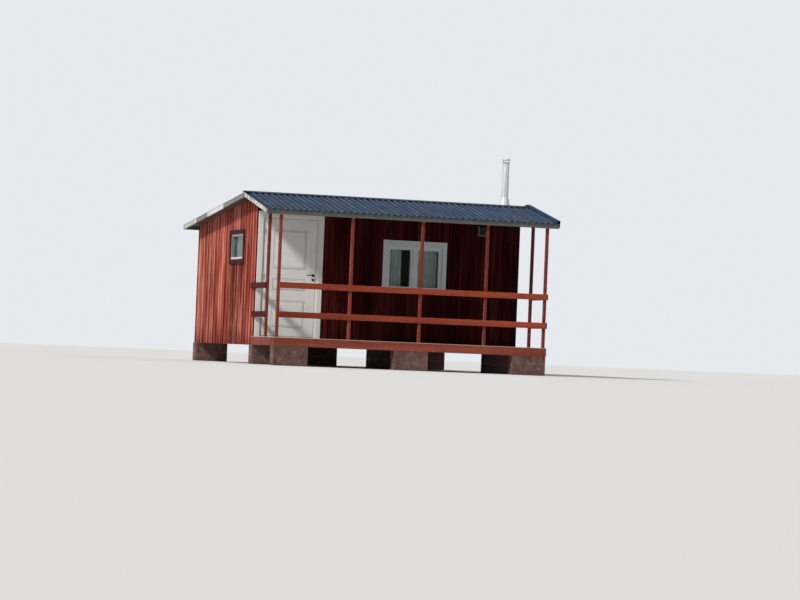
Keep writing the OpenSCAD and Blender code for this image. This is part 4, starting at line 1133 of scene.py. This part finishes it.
def hung(name, material, start, reach, along_gable, depth_at, low, high, folds, depth, seed):
    """A sheet gathered in folds, along the front or the gable wall; returns it with its flat width."""
    columns, rows, sway = folds * 10, 26, 0.004
    # along the top the folds drift out of step and vary in depth; towards the hem they open and sway
    points = []
    for k in range(columns + 1):
        share = k / columns
        wave = math.sin(2 * math.pi * folds * share + 0.9 * math.sin(3.1 * share + seed))
        swell = 0.75 + 0.25 * math.sin(5.0 * share + 2 * seed)
        points.append((start + reach * share, wave * depth * swell))
    form = bmesh.new()
    grid = []
    for row in range(rows + 1):
        fall = row / rows
        z = high + (low - high) * fall
        line = [(p + sway * fall * math.sin(9.0 * p + 4.0 * fall + seed), depth_at + w * (0.82 + 0.30 * fall))
                for p, w in points]
        grid.append([form.verts.new((d, p, z) if along_gable else (p, d, z)) for p, d in line])
    for upper, lower in zip(grid, grid[1:]):
        for k in range(columns):
            form.faces.new((upper[k], upper[k + 1], lower[k + 1], lower[k]))
    bmesh.ops.recalc_face_normals(form, faces=form.faces)
    piece = solid(name, form, smooth=True)
    piece.data.materials.append(material)
    return piece, sum(math.dist(a, b) for a, b in zip(points, points[1:]))


cloth_low, cloth_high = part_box("curtains")
case_low, case_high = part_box("window_casing")
case_width = case_high.x - case_low.x
# where each curtain starts and stops, as shares of the casing's width, and the number of its folds
curtain_shares = ((0.06, 0.32, 6), (0.53, 0.88, 8))
for number, (start, stop, folds) in enumerate(curtain_shares, 1):
    sheet, across = hung(f"front_curtain_{number}", cloth, case_low.x + start * case_width,
                         (stop - start) * case_width, along_gable=False,
                         depth_at=(cloth_low.y + cloth_high.y) / 2, low=cloth_low.z, high=cloth_high.z,
                         folds=folds, depth=0.009, seed=float(number))
    fitted(sheet, "curtain_cloth", *(("curtains",) if number == 1 else ()))

# Gable window. A fixed white frame with a middle bar in the left gable, dark red trim boards
# nailed round it, and a short length of grey-green net gathered behind the pane; the frame's
# white, the trim's red and the net are darkened as painted shade for the shade over the window.
# the net is darkened as painted shade
net_painted_shade, shader, place = finish("grey_green_net", (0.075, 0.090, 0.078), 0.9)
weave = noise(place, 700.0, 2.0)
tinted(shader, mixed(band(weave, 0.4, 0.6), (0.080, 0.096, 0.084), (0.055, 0.065, 0.056)))
raised(shader, weave, 0.0004, 0.4)

gable_low, gable_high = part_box("gable_window_frame")
sill_height, net_inset, net_margin, net_behind = 0.045, 0.05, 0.03, 0.014
# the frame's white is greyed and darkened as painted shade; below the sill height it is paler
gable_white_painted_shade = white_paint("weathered_gable_white", (0.23, 0.25, 0.22), bare=0.05,
                          sill=gable_low.z + sill_height)
dressed("gable_frame_bars", "gable_window_frame", "white_trim", gable_white_painted_shade, width=0.002)
sheet, across = hung("gable_curtain", net_painted_shade, gable_low.y + net_inset,
                     gable_high.y - gable_low.y - 2 * net_inset, along_gable=True,
                     depth_at=gable_high.x + net_behind, low=gable_low.z + net_margin,
                     high=gable_high.z - net_margin, folds=9, depth=0.008, seed=2.0)
fitted(sheet, "curtain_cloth")
# the trim's dark red is darkened further as painted shade
trim_red_painted_shade = red_stain("dark_trim_red", (0.032, 0.008, 0.009), (0.080, 0.019, 0.019), along_y, bare=0.0,
                     bare_tone=(0.16, 0.12, 0.11), gloss=0.05)
dressed("gable_trim_boards", "gable_window_trim", "dark_trim", trim_red_painted_shade, width=0.003)

# Vent hood. A folded dark sheet hood over a hole in the front wall, paler along its lower and
# left edges.
vent_coat, shader, place = finish("vent_hood_coat", (0.02, 0.022, 0.025), 0.5)
shader.inputs["Specular IOR Level"].default_value = 0.2
vent_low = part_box("wall_vent")[0]
spot = xyz(place)
mottle = noise(place, 50.0, 4.0, 0.7)
lower_edge = band(spot[2], vent_low.z + 0.004, vent_low.z + 0.012, 1.0, 0.0)
left_edge = band(spot[0], vent_low.x + 0.003, vent_low.x + 0.008, 1.0, 0.0)
edge = maths("MAXIMUM", lower_edge, left_edge)
tone = mixed(band(mottle, 0.5, 0.7), (0.012, 0.013, 0.015), (0.03, 0.03, 0.03))
tinted(shader, mixed(times(edge, band(mottle, 0.3, 0.55, 0.3, 1.0)), tone, (0.30, 0.30, 0.29)))
clad(vent_coat, "wall_vent")

# Flue. A dull metal pipe through a flared storm collar, with a shallow cap on four short
# stays; its mouth is sooty, and rain has left fine streaks.
steel, shader, place = finish("dull_flue_metal", (0.70, 0.76, 0.79), 0.5)
shader.inputs["Metallic"].default_value = 0.25
streak = noise(stretched(place, (40.0, 40.0, 2.0)), 1.0, 5.0, 0.7)
height, mouth, soot_depth = xyz(place)[2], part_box("flue_pipe")[1].z, 0.05
sooty = times(band(height, mouth - soot_depth, mouth, 0.0, 0.85), band(height, mouth, mouth + 0.02, 1.0, 0.0))
tone = mixed(band(streak, 0.45, 0.7), (0.74, 0.80, 0.83), (0.50, 0.54, 0.57))
tone = mixed(times(sooty, band(streak, 0.3, 0.6, 0.6, 1.0)), tone, (0.05, 0.05, 0.05))
tinted(shader, tone, band(streak, 0.35, 0.7, 0.42, 0.65))
raised(shader, noise(stretched(place, (20.0, 20.0, 400.0)), 1.0, 2.0), 0.0003, 0.4)
clad(steel, "flue_pipe", "flue_collar", "flue_cap")

# Daylight. A pale plain floor and a pale sky-like surround; a broad soft sun from the left
# lights the gable and leaves the porch in open shade.
far = 90.0
mesh = bpy.data.meshes.new("plain_floor")
mesh.from_pydata([(-far, -far, 0), (far, -far, 0), (far, far, 0), (-far, far, 0)], [], [(0, 1, 2, 3)])
mesh.materials.append(finish("plain_floor", (0.80, 0.80, 0.79), 0.95)[0])
shown("plain_floor", mesh)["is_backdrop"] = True
scene.view_settings.view_transform = "Standard"
sky = bpy.data.worlds.new("surround")
sky.use_nodes = True
scene.world = sky
light_on_house, light_seen = 0.36, 0.85
background = sky.node_tree.nodes["Background"]
ray = sky.node_tree.nodes.new("ShaderNodeLightPath").outputs
seen = maths("MAXIMUM", ray["Is Camera Ray"], ray["Is Glossy Ray"])
seen = maths("MAXIMUM", seen, ray["Is Transmission Ray"])
background.inputs["Color"].default_value = (0.93, 0.96, 1.0, 1.0)
sky.node_tree.links.new(band(seen, 0.0, 1.0, light_on_house, light_seen), background.inputs["Strength"])
sun_data = bpy.data.lights.new("sun", "SUN")
sun_data.energy = 2.8
sun_data.angle = math.radians(7.0)
sun_data.color = (1.0, 0.96, 0.90)
sun = shown("sun", sun_data)
turn, rise = math.radians(-62.0), math.radians(38.0)
sun_from = Vector((math.sin(turn) * math.cos(rise), -math.cos(turn) * math.cos(rise), math.sin(rise)))
sun.rotation_euler = sun_from.to_track_quat("Z", "Y").to_euler()
sun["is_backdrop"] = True

low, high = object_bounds()
